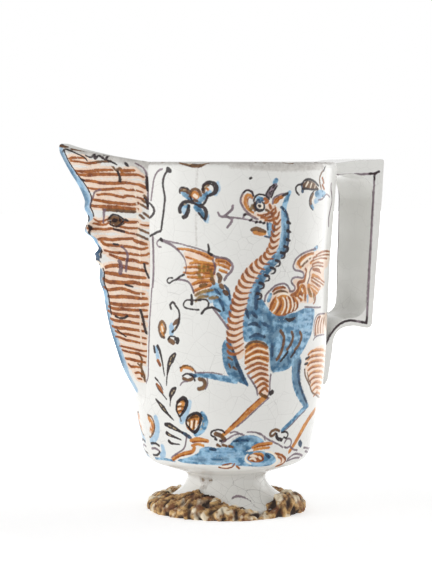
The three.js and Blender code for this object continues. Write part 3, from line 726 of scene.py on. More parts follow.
# %% The wing on the right, its lobe
patch("peach", (24.4, 121), (24.2, 127), (28, 131.6), (33, 133.2), (36.6, 131), (41, 131.4), (40, 136.4),
      (48, 137.4), (47, 140.6), (41.4, 143.4), (42, 147), (50, 151.4), (60, 152), (84, 150.6), (80, 143),
      (71, 140), (73, 132), (62, 128), (58, 122.6), (46, 123), (40, 118.6), (32, 117))
patch("ochre", (25, 119.8), (25.4, 124), (28, 127.4), (32, 128.4), (37, 127.8), (40.6, 127), (43.8, 124.4),
      (44.4, 121), (41, 118.8), (37, 117.6), (32, 116.8), (28.6, 117))
for stripe in [
    [(24.7, 120), (25.6, 122.9), (27.2, 125.7)],
    [(28.4, 117.7), (30.6, 120.4), (31.9, 123.2), (31.1, 126.1)],
    [(33.8, 117.2), (35.8, 120.5), (35.7, 123.7), (34.6, 126.3)],
    [(37.7, 118.1), (38.7, 121), (38.6, 124.1), (37, 127)],
    [(40.3, 118.9), (41.2, 121.4), (40.9, 124.3), (40, 126.3)],
    [(42.7, 119.6), (43.8, 121.6), (43.7, 123.6)],
]:
    stroke("rust", (1, 1.7, 1.1), *stripe)
for gap in [
    [(26.4, 118.6), (28.6, 121.1), (29.8, 124.2), (29.1, 126.2)],
    [(32.4, 117.5), (34.1, 120.6), (34.6, 124), (32.8, 126.9)],
    [(35.9, 118.2), (36.9, 121), (36.8, 124.2), (35.6, 126.8)],
    [(38.8, 118.7), (40.1, 121.2), (39.7, 124.3), (38.5, 126.7)],
    [(41.5, 119.4), (42.4, 121.6), (42.1, 123.4)],
    [(29, 127.2), (32, 128.8), (35.6, 128.6), (38.6, 126.6)],
]:
    stroke("cream", (0.8, 1.3, 0.8), *gap)
strokes("rust", [
    (0.8, (28.7, 117.1), (33.1, 116.6), (37.4, 117.9), (41.9, 119.1), (44.2, 121)),
    ((1.2, 1.9, 1.2), (26.4, 130.2), (27.6, 131.3), (29.6, 132.1), (32.6, 132.5), (34.3, 132.1)),
])
stroke("umber", (1.1, 1.6, 1), (27.1, 128.8), (28.7, 129.7), (31, 130.4), (34.4, 130), (36.2, 129.1))
stroke("blue", 2, (25.2, 128.6), (23.8, 125.2))
tell("right wing's lobe")

# %% The wing on the right, its bone and crest
stroke("cream", (1.6, 2.6, 2.2, 1.2), (52.4, 142.8), (52, 140), (51.4, 137.4), (50, 134.4))
strokes("rust", [
    ((1.4, 2.1, 2, 1.8), (49.3, 142.3), (50.4, 140.5), (49.6, 138.2), (49.1, 136), (47.6, 135.2),
     (44.3, 134.7), (43.6, 133.3), (44.1, 131.6), (43, 129.6), (40.7, 128.3), (38.8, 127.8)),
    (0.9, (46.5, 132.1), (47.5, 132.9), (48.7, 132.1), (47.6, 131.2), (46.5, 132.1)),
])
stroke("mauve", 1, (55.5, 142.6), (53.9, 141.2), (53.3, 139.5), (53.6, 138.1), (52.6, 135.8), (51.8, 133.8))
for dab in [(46.2, 129.5), (45.1, 128.4), (43.9, 127.3), (47.2, 128.3), (41.5, 128), (44.7, 126.4)]:
    stroke("rust", 1.5, dab, np.add(dab, (1, -0.8)))
patch("ochre", (43.6, 131), (46, 133.6), (49, 133), (51, 130), (50.4, 125.2), (46, 124.2), (44.6, 126.2),
      (41, 127.4))
for gap in [[(46.8, 131), (47.6, 129.6)], [(45.4, 127), (47.6, 125.8)], [(48.6, 127.6), (48.4, 125)]]:
    stroke("cream", 1, *gap)
crest = [(56.2, 150.5), (50.9, 150), (46.7, 148.4), (44, 146.5), (43.3, 145.4), (45.4, 143.3)]
stroke("ochre", (1.3, 1.9, 2.6, 2.6, 1.7), *crest)
stroke("rust", (0.7, 1, 1.2, 1), *np.add(crest, (0.3, 0.5)))
stroke("cream", 1.2, (54.8, 149.2), (50.2, 148), (46.9, 146.1), (45.3, 144.7))
for dot in [(52.7, 147.9), (49.9, 146), (47.8, 144.9), (46.6, 143.8)]:
    stroke("umber", 1.4, dot, np.add(dot, (0.9, 0.6)))
tell("right wing's bone")

# %% The wing on the right, its feathers
for feather in [
    [(59, 149.4), (64.2, 150.6), (71.8, 151.1), (82.2, 150.4)],
    [(55.9, 148), (61.4, 148.7), (68, 149.3), (83.1, 148.6)],
    [(54.1, 146.1), (58.6, 147.4), (64.7, 147.7), (76, 146.7)],
    [(55.3, 144.3), (60.7, 145), (68.9, 144.4)], [(56.4, 143.1), (62.1, 143.5), (69.3, 142.5)],
    [(56.1, 142), (59.9, 141.8), (64.4, 140.7)], [(56.7, 141.1), (61.2, 140.6), (66, 139.2)],
    [(55, 136.9), (60.6, 135.1), (70.9, 132)], [(55.1, 135.4), (60.1, 133.4), (67, 131)],
    [(60.5, 136.6), (66.6, 134.9), (72.7, 133.2)],
    [(57.8, 127.8), (60.2, 125.9), (59.9, 123.3), (58.3, 122)],
    [(49.2, 130.8), (50.3, 127.3), (50.1, 124.1)], [(46.8, 126.9), (46.5, 124)],
]:
    stroke("rust", (0.9, 1.5, 1), *feather)
for glow in [
    [(53.7, 145.3), (58.3, 145.9), (63, 145.9)], [(57, 148), (62, 148.2), (68, 148.4)],
    [(56, 143.7), (61, 144.3), (66, 143.6)], [(56.5, 137.6), (59.9, 136.2), (62, 135.8)],
    [(56, 134.4), (60.4, 132.2), (65, 130)], [(57, 141.6), (61, 141.2), (64, 140)],
]:
    stroke("ochre", (1.6, 2.4, 1.6), *glow)
for gap in [
    [(57, 147.2), (62, 148), (70, 148.3), (82, 147.8)],
    [(55, 145.2), (60, 146.3), (66, 146.2), (76, 145.6)], [(56.4, 143.8), (61.6, 144.3), (69, 143.5)],
    [(57, 142.5), (61, 142.6), (67, 141.6)], [(61, 149.2), (70, 150.2), (82, 149.5)],
    [(55.6, 136.2), (60.4, 134.4), (69, 131.6)], [(58, 137), (64, 135), (71.8, 132.7)],
    [(54.8, 132.2), (58.6, 130.6), (63, 128.4)], [(54.4, 131), (56.6, 128.4), (57.6, 125)],
    [(55.4, 134.2), (59.6, 132.4), (65.6, 129.8)],
]:
    stroke("cream", (0.5, 0.85, 0.6), *gap)
patch("ochre", (51.6, 133.6), (55.3, 133), (60, 131), (64.4, 129), (60, 126), (56, 125.6), (52.6, 128))
patch("ochre", (55.6, 139), (60, 138.4), (66, 136.4), (69, 133.6), (63, 131.6), (56, 134.4))
strokes("olive", [
    ((1.4, 1.8, 1), (52.9, 130.6), (54.6, 128.2), (55.7, 126.4)),
    ((1.2, 1.6, 1), (56.7, 127.8), (58.5, 125.7), (59.3, 123.6)),
])
stroke("wash", 1.5, (52.2, 127.2), (52.5, 123.4))

# %% The wing on the right, its outline
strokes("mauve", [
    (1.2, (58.5, 153.1), (53.5, 152.4), (47.7, 151.2), (43.8, 149.6), (41.2, 147.7), (40.2, 145.7),
     (39.6, 143.5), (41.2, 141.7), (45.2, 141), (47.8, 139.8), (48.1, 137.7), (46.7, 137.1), (43, 137.7),
     (39.6, 137.2), (38.7, 135), (41.3, 132.3), (40.8, 130.4), (38, 129.8), (37.4, 131.3), (35.7, 133.4),
     (33.6, 134.4), (30.2, 134.1), (27.6, 133.2), (25.4, 131.4), (23.2, 129.5), (21.9, 127.5),
     (21.5, 125)), (1.1, (50, 120.6), (60, 119.8), (68, 119.4)),
])
stroke("blue", 2.4, (57.2, 152.8), (59.6, 153.9))
tell("right wing")

# %% The raised foreleg and its claws
patch("blue", (-3, 100), (-1.5, 103.5), (1, 104), (3, 100), (5, 95), (7, 90), (10, 84), (12.6, 77.8),
      (9, 79.2), (5, 81), (1, 83.4), (-1.5, 88), (-2.6, 93))
stroke("shade", (4, 6, 6, 3), (1, 101), (1.6, 94), (3.4, 88), (8, 81.6))
stroke("navy", (1.4, 2.4, 2), (3, 99), (5, 92), (8.6, 84), (11.4, 79))
for touch in [[(1, 99.6), (3, 98)], [(0.6, 94), (3, 92.6)], [(3.6, 88.4), (5.6, 87)], [(1, 90), (2, 88)]]:
    stroke("umber", (1.4, 1), *touch)
stroke("blue", (2.2, 3.2, 3.6, 3), (-19, 83.6), (-12, 83.7), (-5, 82.7), (0, 81.8), (5, 80.6))
strokes("mauve", [
    (0.9, (-19, 85), (-10, 85.4), (-3, 84.4)), (0.9, (-29, 77.5), (-27, 79.5), (-24, 80)),
    (0.9, (-11.8, 82), (-11.6, 79), (-13, 76)),
])
stroke("ochre", (1.5, 2.3, 1.4), (-28, 86), (-26.6, 88), (-23, 87.8), (-20, 86.4))
strokes("umber", [
    (1, (-28.4, 87.6), (-24, 89), (-20.6, 87.8), (-18.8, 85.4)),
    (2.1, (-26.5, 81.5), (-23.5, 80.8), (-21, 81.6)),
    (2.4, (-16.4, 81.6), (-14, 81), (-13, 79), (-14.5, 76.6), (-17, 76)),
])
stroke("ink", 1.1, (-27, 83), (-24.5, 84.3), (-22, 83.9), (-20, 82.5), (-19.3, 80.5))
stroke("navy", 2, (-22, 84), (-19, 83.2))
tell("raised foreleg")

# %% The standing foreleg
patch("peach", (10.4, 100), (16, 102), (22, 101), (24.4, 97), (24.6, 88), (25.4, 78), (25, 71), (20, 71),
      (17, 79), (13.6, 86), (10.4, 91))
patch("ochre", (10.6, 98), (13, 101.6), (18, 102), (22, 100.6), (24.2, 96), (24.2, 90.4), (17, 91.6),
      (10.6, 89.4))
for arc in [
    [(10.6, 97.4), (17.4, 100.6), (24, 98.8)], [(10.4, 93.8), (17.4, 97), (24.2, 95.4)],
    [(10.4, 90.8), (17.4, 93.6), (24, 92)],
]:
    stroke("rust", (0.9, 1.4, 0.9), *arc)
for arc in [
    [(10.9, 95.6), (17.4, 98.8), (24.2, 97)], [(10.3, 92.2), (17.5, 95.4), (24.3, 94.1)],
    [(10.4, 89.4), (17.5, 92.1), (24, 90.2)],
]:
    stroke("cream", (0.8, 1.1, 0.8), *arc)
for arc in [
    [(10.6, 87.4), (17.8, 90.4), (24, 89)], [(11.8, 84.6), (18.4, 87.8), (24, 86.4)],
    [(13.6, 81.8), (19.6, 84.6), (24.4, 83.4)], [(16, 79.2), (20.4, 81.8), (24.8, 80)],
    [(18, 76.8), (21.6, 79), (25, 77.2)], [(19.8, 74), (22.8, 76.2), (25, 74.4)],
]:
    stroke("rust", (1.2, 1.9, 1.3), *arc)
strokes("umber", [
    (2, (20, 73.4), (22, 72), (24.6, 71)),
    (1.6, (10.6, 99.6), (13, 102), (17, 102.6), (21, 101.6), (23.6, 99.4)),
    (2.8, (-7.4, 50.4), (-4, 49.4), (-1.6, 47)),
])
strokes("ink", [
    (2.8, (27, 73.2), (27.8, 73.8)),
    (1.1, (-7.6, 48.4), (-10.5, 49.8), (-9.6, 52), (-6, 52.9), (-3, 52.4), (-1.6, 51)),
    (1.6, (-7.8, 47.6), (-7, 47.2)), (1.6, (-4.6, 46.6), (-3.6, 46.4)),
])
strokes("mauve", [
    (1, (26.4, 84), (26, 79), (26.2, 75), (25.2, 71.6)),
    (1.1, (12, 84), (15, 80), (17.6, 76), (18.4, 72.6)), (1, (26, 70.6), (20, 66), (13, 60), (6, 54.6)),
])
stroke("ochre", (3.4, 3.4, 3.2, 2.6, 2.2), (23, 71), (18, 67), (12, 62), (6, 56.4), (0, 51.8), (-3, 49.6))
stroke("rust", 0.9, (20, 70.6), (14, 65.6), (8, 60), (2, 54.6))
tell("standing foreleg")

# %% The hind legs and the tail
stroke("blue", (7.6, 6.6, 6.2, 5.6, 4.6, 2), (45, 89.6), (44.8, 82), (47, 75.4), (51.4, 70), (56.6, 65.4),
       (60.6, 63.2))
stroke("shade", (7, 6.6, 6, 5, 4), (45.4, 89), (45.4, 82), (47.6, 75.4), (51.8, 70), (57, 65.4))
stroke("navy", (2.4, 2, 1.6), (47.6, 90), (47, 82), (49.4, 76), (53.4, 70.4), (58.4, 65.6))
for streak in [
    [(44.4, 88), (44, 84)], [(44, 81.6), (45.4, 77.6)], [(46.6, 75.6), (49.6, 71.6)],
    [(51.6, 69.8), (54.6, 67)],
]:
    stroke("wash", (1.8, 1.2), *streak)
stroke("blue", (3.2, 3, 2.4), (58.4, 63), (52, 60), (46, 56), (38.4, 51.2))
stroke("mauve", 0.9, (58, 61), (52, 58), (46, 54), (40, 50.4))
stroke("umber", 1.7, (36, 51), (33, 52), (30, 51), (29.2, 49), (31, 48.4), (33, 49.6))
strokes("ink", [
    (2.2, (34, 49), (35.6, 46.6), (39, 45.6)),
    (1.2, (38, 50), (42, 50), (44, 48.4), (43, 46.4), (40.6, 47)),
])
patch("peach", (53, 91), (58, 95), (66, 97), (84, 94), (84, 66), (74, 69), (66, 70), (60, 74.6),
      (55.4, 80), (53, 86))
THIGH_RINGS = 9
THIGH_GAP = 3.1
for down in range(THIGH_RINGS):
    height = 95.2 - THIGH_GAP * down
    begin = 54.6 + 0.24 * (down - 1) ** 2
    stroke("ochre", (1, 1.8, 1.5), (begin, height - 1.8), (begin + 5, height), (72, height - 0.4),
           (84, height - 2.6))
    stroke("rust", (0.6, 0.9, 0.6), (begin + 0.4, height - 2.2), (begin + 5, height - 0.5),
           (72, height - 0.9))
for touch in [[(53, 91), (56, 91.8)], [(52.4, 88), (55, 88.4)]]:
    stroke("ink", 1.5, *touch)
strokes("umber", [
    (1.3, (52.4, 85), (53.4, 81.6), (56, 78.6), (59.4, 75.2), (63.6, 71), (70, 69), (76, 67.4),
     (84, 65.4)), (0.9, (55.4, 83), (57, 79.6), (60, 76.8)),
])
stroke("ochre", (3.6, 4, 4, 3.4, 2.4), (73, 59.4), (66, 56), (60, 51), (54, 44), (48, 38))
stroke("peach", (2.4, 2), (75, 60.4), (62, 54), (55, 47))
stroke("navy", 3.4, (58.4, 42.3), (60.8, 40.8))
patch("peach", (61, 104), (60.6, 109), (62.4, 113.4), (67, 115), (84, 114.4), (84, 103.6), (70, 104))
for arc in [
    [(62.4, 104), (62, 109), (64, 113.4), (68, 114)], [(65.4, 105), (65, 109.6), (67.2, 113)],
    [(69.2, 104.6), (68.8, 109), (71, 112.8)], [(74, 104.6), (73.6, 109), (75, 113)],
]:
    stroke("rust", 1.4, *arc)
strokes("mauve", [
    (1, (61, 103.4), (60, 108), (60.6, 112), (63, 114.8), (67, 115.6), (76, 115.2)),
    (1, (60, 101.4), (63, 103), (70, 103.4), (78, 103)),
])
tell("hind legs and tail")

# %% The ground under the beast
patch("blue", (-37, 33.9), (-28.6, 36), (-20.2, 39), (-18.4, 41.6), (-13, 43), (-7.6, 42.4), (0, 43.4),
      (3.8, 46.6), (8.5, 49), (16, 49.6), (22.2, 47.8), (25.2, 45.2), (20.6, 44), (16.6, 41.8), (13, 40),
      (19.6, 40.2), (27.2, 39.4), (34.6, 36.6), (36.8, 33.4), (33.4, 31), (24.6, 30.6), (10, 31.6),
      (-8.6, 32.2), (-30.4, 32.5))
for light in [
    [(-20, 37.3), (-3, 36.8), (12.4, 37.5)], [(-28, 34.4), (-8.4, 34.3), (7.4, 34.4)],
    [(-15.6, 39.2), (0, 38.6), (8.8, 39.2)], [(12, 33.4), (21.2, 32.1), (32.2, 32.2)],
    [(9.4, 48.1), (16.2, 48.5), (22.2, 46.7)], [(-11.6, 40.3), (-3, 40.8), (4.8, 40.4)],
    [(-24, 36), (-12, 35.7)], [(0, 33), (9, 33.2)], [(6, 42), (11, 41.6)], [(-16, 41), (-12, 41.8)],
]:
    stroke("wash", (0.9, 1.5, 0.9), *light)
for dark in [
    [(4.6, 46.6), (8.4, 47.7), (13.2, 47.6)], [(5.6, 44.9), (10.4, 45.2)], [(10.6, 43.2), (13.6, 41.4)],
    [(14.2, 47.2), (19.2, 46.2)], [(-9, 35.8), (0, 35.6)], [(-22, 35.2), (-15, 35)],
]:
    stroke("shade", (2, 3, 2), *dark)
strokes("mauve", [
    ((0.8, 1.2, 0.8), (-4, 45), (0, 47.4), (5, 50), (10, 50.6)),
    ((0.8, 1.2, 0.8), (13, 51.4), (19, 51), (24, 49), (26, 46)),
])
strokes("navy", [((1, 1.8, 1), (4, 46), (9, 46.8), (14, 46.4)), (2, (-11.2, 41.7), (-8, 41.4))])
for dab in [[(-6.4, 44.1), (-4.6, 43.3)], [(-2.8, 44.2), (-0.4, 43.4)], [(1.4, 43.5), (3.8, 42.9)]]:
    stroke("umber", (1.9, 1.5), *dab)
tell("ground")

# %% The swirls and waves on the ground
strokes("ochre", [
    ((1.8, 2.6, 2), (17.4, 42.2), (21.5, 43.5), (26.7, 43.9), (31, 44)),
    (1.5, (18.4, 40.8), (22.7, 41.5), (29.6, 41.7)),
])
stroke("rust", 0.8, (18.4, 42.1), (22, 43), (29.6, 43.4))
patch("rust", (14.2, 36.9), (17, 38.6), (21.5, 38.6), (25.6, 36.6), (26.2, 34.4), (23, 33.4), (17.8, 33.8),
      (14.6, 35.3))
stroke("ochre", 1.8, (19, 38.5), (23.2, 38.3), (25.4, 37.1))
for light in [
    [(16, 37.5), (18.6, 37.6), (21, 36.8)], [(16, 35.6), (18, 36), (20.4, 34.6)],
    [(22.4, 36.6), (24.4, 35.4)], [(14.4, 38.4), (12.8, 36.6), (13.6, 34.4), (17, 32.8)],
    [(27.2, 39.5), (31.9, 38.8), (36.8, 35.4), (38.2, 32.2), (35, 30.4)],
    [(-4.2, 31.3), (0, 31.3), (3.2, 32.6)],
]:
    stroke("cream", (1, 1.5, 1), *light)
stroke("navy", 2, (27.6, 37.8), (30.6, 36))
stroke("peach", 3.4, (36, 36.8), (41, 35.4), (44, 32.4), (42, 30.6))
strokes("rust", [
    (1.5, (34.8, 37.9), (41, 36.5), (46, 33.4), (45, 30.8), (40.4, 29.8)),
    (1.2, (37.4, 35.7), (41.2, 34.5), (42.8, 32)), (1.1, (-6, 30.9), (-1, 30.2), (3.4, 30.9), (5.2, 32.9)),
    (1, (-3.2, 32.2), (1.2, 33), (3.5, 33.2)), (1.3, (6.9, 31.6), (9.4, 29.8)),
])
strokes("mauve", [
    (1.2, (42, 43.6), (43.5, 45.5), (46, 45.7), (48.5, 44), (48, 41.5), (45, 40.5), (42.5, 41.2)),
    (1.1, (20, 50.6), (24, 49), (28, 46.6), (33, 44.6), (38, 42.6), (41, 41)),
    (1.1, (2, 51), (5, 51.8), (8, 50.6), (11, 49.6)),
])
for wave in [
    [(48, 41), (52, 39), (57, 38)], [(48, 33.6), (54, 36), (62, 35), (68, 33.4)],
    [(48, 32.4), (56, 33.4), (64, 32.8)], [(66, 38.6), (70, 38), (76, 37), (84, 36)],
    [(70, 36), (78, 34.6), (84, 34)],
]:
    stroke("mauve", 1.3, *wave)
tell("swirls and waves")

# %% [markdown]
# Use has left marks too: the glaze is thin and grey on the rim, it has chipped off to the brown clay in
# two places, and a hairline crack runs down from one of the chips. Small brown specks are strewn along
# the rim by a random generator with a fixed seed, so they fall the same way each time.

# %% Wear at the rim
SPECKS = 26
worn_line = rim_height - 0.4
stroke("worn", 2.2, (-HALF_WAY_ROUND, worn_line), (0, worn_line), (HALF_WAY_ROUND, worn_line))
stroke("umber", (1.4, 2.8, 4.2, 4, 1.4), (-26, 201.6), (-22, 201.2), (-18, 200.8), (-14.4, 200.8),
       (-10.6, 201.8))
strokes("fleck", [(1.2, (-21.6, 201.2), (-19.4, 200.8)), (1, (-16.4, 201.4), (-13.6, 200.8))])
stroke("ink", 0.8, (-20, 199.8), (-18.4, 199.7))
specks = np.random.default_rng(SEED)
for place in specks.uniform(-42, 78, SPECKS):
    stroke("umber", specks.uniform(0.4, 0.9), (place, 201.5), (place + specks.uniform(0.2, 1.6), 201.8))
stroke("umber", 1.4, (31, 201.8), (38, 201.4))
strokes("worn", [
    (0.5, (-15.6, 199), (-16.4, 185), (-17, 168), (-17, 154)),
    # A grey band darkens the wall just under the rim, from the middle of the front round to the right.
    ((2, 4, 3), (2, 199.6), (30, 198.6), (60, 199.2)),
])
tell("whole painting")

# %% [markdown]
# ## Distances to the strokes
# For each pigment the mesh stores how deep a vertex lies in its strokes: DEPTH at a stroke's edge, more
# inside and less outside, and 0 far away. A material later turns that into paint, with a soft edge. A
# distance is smooth between vertices, where a colour on each vertex would look stepped.

# %% Distance helpers
DEPTH = 3
FAR = 99.0
TINY = 1e-9
PIGMENTS = ("worn", "peach", "blue", "wash", "shade", "navy", "ochre", "olive", "umber", "rust", "cream",
            "mauve", "ink", "fleck")


def edge_distance(u, v, width, points, closed):
    path = through(points, 5, closed)
    if closed:
        path = np.vstack([path, path[:1]])
    widths = np.resize(width, max(np.size(width), 2)) / 2
    half = np.interp(np.linspace(0, 1, len(path)), np.linspace(0, 1, len(widths)), widths)
    nearest = np.full(len(u), FAR)
    inside_outline = np.zeros(len(u), dtype=bool)
    for start, end, near, far in zip(path, path[1:], half, half[1:]):
        along = end - start
        length = max(along @ along, TINY)
        t = np.clip(((u - start[0]) * along[0] + (v - start[1]) * along[1]) / length, 0, 1)
        away = np.hypot(u - start[0] - t * along[0], v - start[1] - t * along[1])
        nearest = np.minimum(nearest, away - near - (far - near) * t)
        if closed:
            crosses = (start[1] > v) != (end[1] > v)
            rise = along[1] if abs(along[1]) > TINY else TINY
            inside_outline ^= crosses & (u < start[0] + (v - start[1]) / rise * along[0])
    return np.where(inside_outline, -nearest, nearest)


def paint_depths(u, v, painting):
    depths = {pigment: np.zeros(len(u)) for pigment in PIGMENTS}
    nearest_edge = np.full(len(u), FAR)
    for pigment, width, points, closed in painting:
        middle = (points.min(axis=0) + points.max(axis=0)) / 2
        reach = (points.max(axis=0) - points.min(axis=0)) / 2 + DEPTH + np.max(width)
        turn = (u - middle[0] + HALF_WAY_ROUND) % (2 * HALF_WAY_ROUND) - HALF_WAY_ROUND
        close = np.flatnonzero((np.abs(turn) < reach[0]) & (np.abs(v - middle[1]) < reach[1]))
        if len(close) == 0:
            continue
        distance = edge_distance(turn[close] + middle[0], v[close], width, points, closed)
        depths[pigment][close] = np.maximum(depths[pigment][close], DEPTH - distance)
        nearest_edge[close] = np.minimum(nearest_edge[close], np.abs(distance))
    return depths, nearest_edge


def round_the_jug(points):
    turned = np.arctan2(points[:, 0], -points[:, 1]) - FRONT
    return UNROLLED_RADIUS * ((turned + math.pi) % (2 * math.pi) - math.pi)


def store(piece, **fields):
    for name, values in fields.items():
        layer = piece.data.attributes.new(name, "FLOAT", "POINT")
        layer.data.foreach_set("value", np.asarray(values, dtype=np.float32))


def points_of(piece):
    flat = np.empty(len(piece.data.vertices) * 3, dtype=np.float32)
    piece.data.vertices.foreach_get("co", flat)
    return (flat.reshape(-1, 3) - (axis_x, 0, 0)) / MILLIMETRE


# %% [markdown]
# ## The cup
# The profile is a chain of vertices that spin turns about the axis. The notch is cut, and then the mesh is
# refined only where a stroke has its edge, twice, so the brushwork is crisp and the rest stays light. An
# image texture would need an unwrapped wall and a finished picture, and strokes on vertices need neither.
# New vertices go back onto the true wall. At the end the lip is dented where it has chipped, and the wall
# gets the slight unevenness of a thrown pot.


# %% The cup, thrown and cut
CUP_TURNS = 172
CUP_STEP = 2.2
LIP_STEPS = 9


def thrown(profile, turns):
    bm = bmesh.new()
    chain = [bm.verts.new((radius, 0, height)) for radius, height in profile]
    edges = [bm.edges.new(pair) for pair in zip(chain, chain[1:])]
    bmesh.ops.spin(bm, geom=chain + edges, axis=(0, 0, 1), cent=(0, 0, 0), angle=2 * math.pi, steps=turns,
                   use_merge=True)
    clean(bm)
    return bm


lip_turn = np.linspace(0, math.pi, LIP_STEPS)[1:-1]
lip = np.column_stack([
    rim_radius - WALL / 2 * (1 - np.cos(lip_turn)), lip_height + WALL / 2 * np.sin(lip_turn),
])
cup_profile = np.vstack([
    [(0, foot_height)], evenly(outside, CUP_STEP), lip, evenly(inside[::-1], 3 * CUP_STEP),
    [(0, foot_height + FLOOR)],
])
cup = cut_away(thrown(cup_profile, CUP_TURNS), notch_cutter)
print(f"cup: {len(cup.faces)} faces before refining")


# %% The cup, refined where it is painted
REFININGS = 2
REFINE_REACH = 0.75
NEAR_WALL = 0.4
wall_start = foot_height + 4


def on_outer_wall(points):
    off = np.hypot(points[:, 0], points[:, 1]) - wall_radius(points[:, 2])
    return (np.abs(off) < NEAR_WALL) & (points[:, 2] > wall_start) & (points[:, 2] < lip_height + 0.1)


for _ in range(REFININGS):
    cup.verts.index_update()
    points = np.array([vert.co for vert in cup.verts])
    outer = on_outer_wall(points)
    edge_gap = np.full(len(points), FAR)
    edge_gap[outer] = paint_depths(round_the_jug(points[outer]), points[outer, 2], wall_painting)[1]
    close = [
        edge for edge in cup.edges
        if min(edge_gap[vert.index] for vert in edge.verts) < REFINE_REACH * edge.calc_length()
        and all(outer[vert.index] for vert in edge.verts)
    ]
    bmesh.ops.subdivide_edges(cup, edges=close, cuts=1, use_grid_fill=True)
    for vert in cup.verts:
        radius = math.hypot(vert.co.x, vert.co.y)
        true_radius = float(wall_radius(vert.co.z))
        if abs(radius - true_radius) < NEAR_WALL and wall_start < vert.co.z < lip_height:
            vert.co.x *= true_radius / radius
            vert.co.y *= true_radius / radius
print(f"cup: {len(cup.faces)} faces after refining")

# %% The cup, chipped and uneven
CHIPS = ((-17.5, 7, 1), (35, 4, 0.5))
CHIP_LOSS = 0.35
CHIP_ROUGHNESS = 0.3
CHIP_GRAIN = 1.6
BROAD_SWAY = 0.004
BROAD_LENGTH = 45
FINE_SWAY = 0.0012
FINE_LENGTH = 9
for vert in cup.verts:
    if vert.co.z > lip_height:
        place = UNROLLED_RADIUS * (math.atan2(vert.co.x, -vert.co.y) - FRONT)
        chip = sum(depth * math.exp(-(((place - middle) / half) ** 4)) for middle, half, depth in CHIPS)
        loss = CHIP_LOSS + CHIP_ROUGHNESS * noise.noise(vert.co / CHIP_GRAIN)
        vert.co.z -= chip * (vert.co.z - lip_height) * loss
    broad = BROAD_SWAY * noise.noise(vert.co / BROAD_LENGTH)
    sway = 1 + broad + FINE_SWAY * noise.noise(vert.co / FINE_LENGTH)
    if vert.co.z > wall_start:
        vert.co.x *= sway
        vert.co.y *= sway
cup_piece = finish_piece("cup", cup, ["body"])

# %% The cup's painting
PAINTED_SKIN = 2.2
points = points_of(cup_piece)
outer = np.hypot(points[:, 0], points[:, 1]) - wall_radius(points[:, 2]) > -PAINTED_SKIN
depths, _ = paint_depths(round_the_jug(points), points[:, 2], wall_painting)
store(cup_piece, **{pigment: depth * outer for pigment, depth in depths.items()})
print(f"cup: painted on {outer.sum()} vertices")

# %% [markdown]
# ## The spout and its mask
# The beak is one closed sheet: it runs up the outside, over the lip, down the trough to its floor and
# back under the cup's wall, and its two side columns are drawn into the wall. A slab with a Boolean cut
# for the trough would be simpler, but thin edges at the lip break in a cut, and a sheet keeps its rows. A
# mask is pinched and pressed out of the ridge: brows, a nose, eyes in shallow sockets, a drooping
# moustache, lips and a small chin. Each is a soft bump that pushes the skin out or in: the push in
# millimetres, times a bump in the height, times a bump to the side, and a bump has a distance and a width.

# %% The mask's relief
BROW = rim_height - 27.5
NOSE_BASE = BROW - 14.5
EYE_LINE = BROW - 7
MOUTH = NOSE_BASE - 11
CHIN = MOUTH - 14


def bump(distance, width):
    return np.exp(-((distance / width) ** 2))


def mask_relief(height, aside):
    brow_line = BROW + 1 + 5 * aside / 14 - 9 * (aside / 22) ** 2
    brow = 1.3 * bump(height - brow_line, 2.8) * bump(aside, 20)
    hollow = -0.9 * bump(height - BROW + 5, 2.6) * bump(aside, 4)
    down = np.clip((BROW - 1 - height) / (BROW - 1 - NOSE_BASE), 0, 1.2)
    nose = 6 * down * bump(np.maximum(NOSE_BASE + 3.5 - height, 0), 3.4) * bump(aside, 2.8 + 2.6 * down)
    socket = -1.3 * bump(height - EYE_LINE, 5) * bump(aside - 14, 8)
    eye = 2.2 * bump(height - EYE_LINE, 2.8) * bump(aside - 16, 5)
    moustache = 1.5 * bump(height - NOSE_BASE + 4 + 6 * (aside / 16) ** 2, 2) * bump(aside - 8, 7)
    recess = -1.6 * bump(height - MOUTH - 5, 2.6) * bump(aside, 9)
    lips = 1.5 * (bump(height - MOUTH - 1.2, 1.6) + bump(height - MOUTH + 2, 1.6)) * bump(aside, 7)
    chin = 1.5 * bump(height - CHIN, 4.5) * bump(aside, 8)
    throat = 1.6 * bump(height - CHIN + 20, 13) * bump(aside, 14)
    return brow + hollow + nose + socket + eye + moustache + recess + lips + chin + throat


print(f"mask: brow at {BROW:.1f} mm, mouth at {MOUTH:.1f} mm, chin at {CHIN:.1f} mm")

# %% [markdown]
# The sheet's rows go round the beak in six runs: the rise outside, the lip, the fall down the trough, the
# step into the wall, the drop behind and the way home. Rows are shared out among the runs, and each row
# knows how far it has come in each. The trough's floor lies a little above the notch's, so that the two
# never share a face.

# %% The beak
SPOUT_COLUMNS = 168
SINK = 4.9
LIP_ROUNDING = 2.2
LIP_PULL = 1.4
FLANK_HOLD = 0.12
BEAK_SWAY = 0.5
BEAK_SWAY_LENGTH = 14
LEAST_SHARE = 0.4
BEAK_FLOOR = TROUGH_FLOOR + 0.6
BEAK_RUNS = np.array([264, 6, 80, 4, 24, 2])
run_starts = np.cumsum(BEAK_RUNS) - BEAK_RUNS


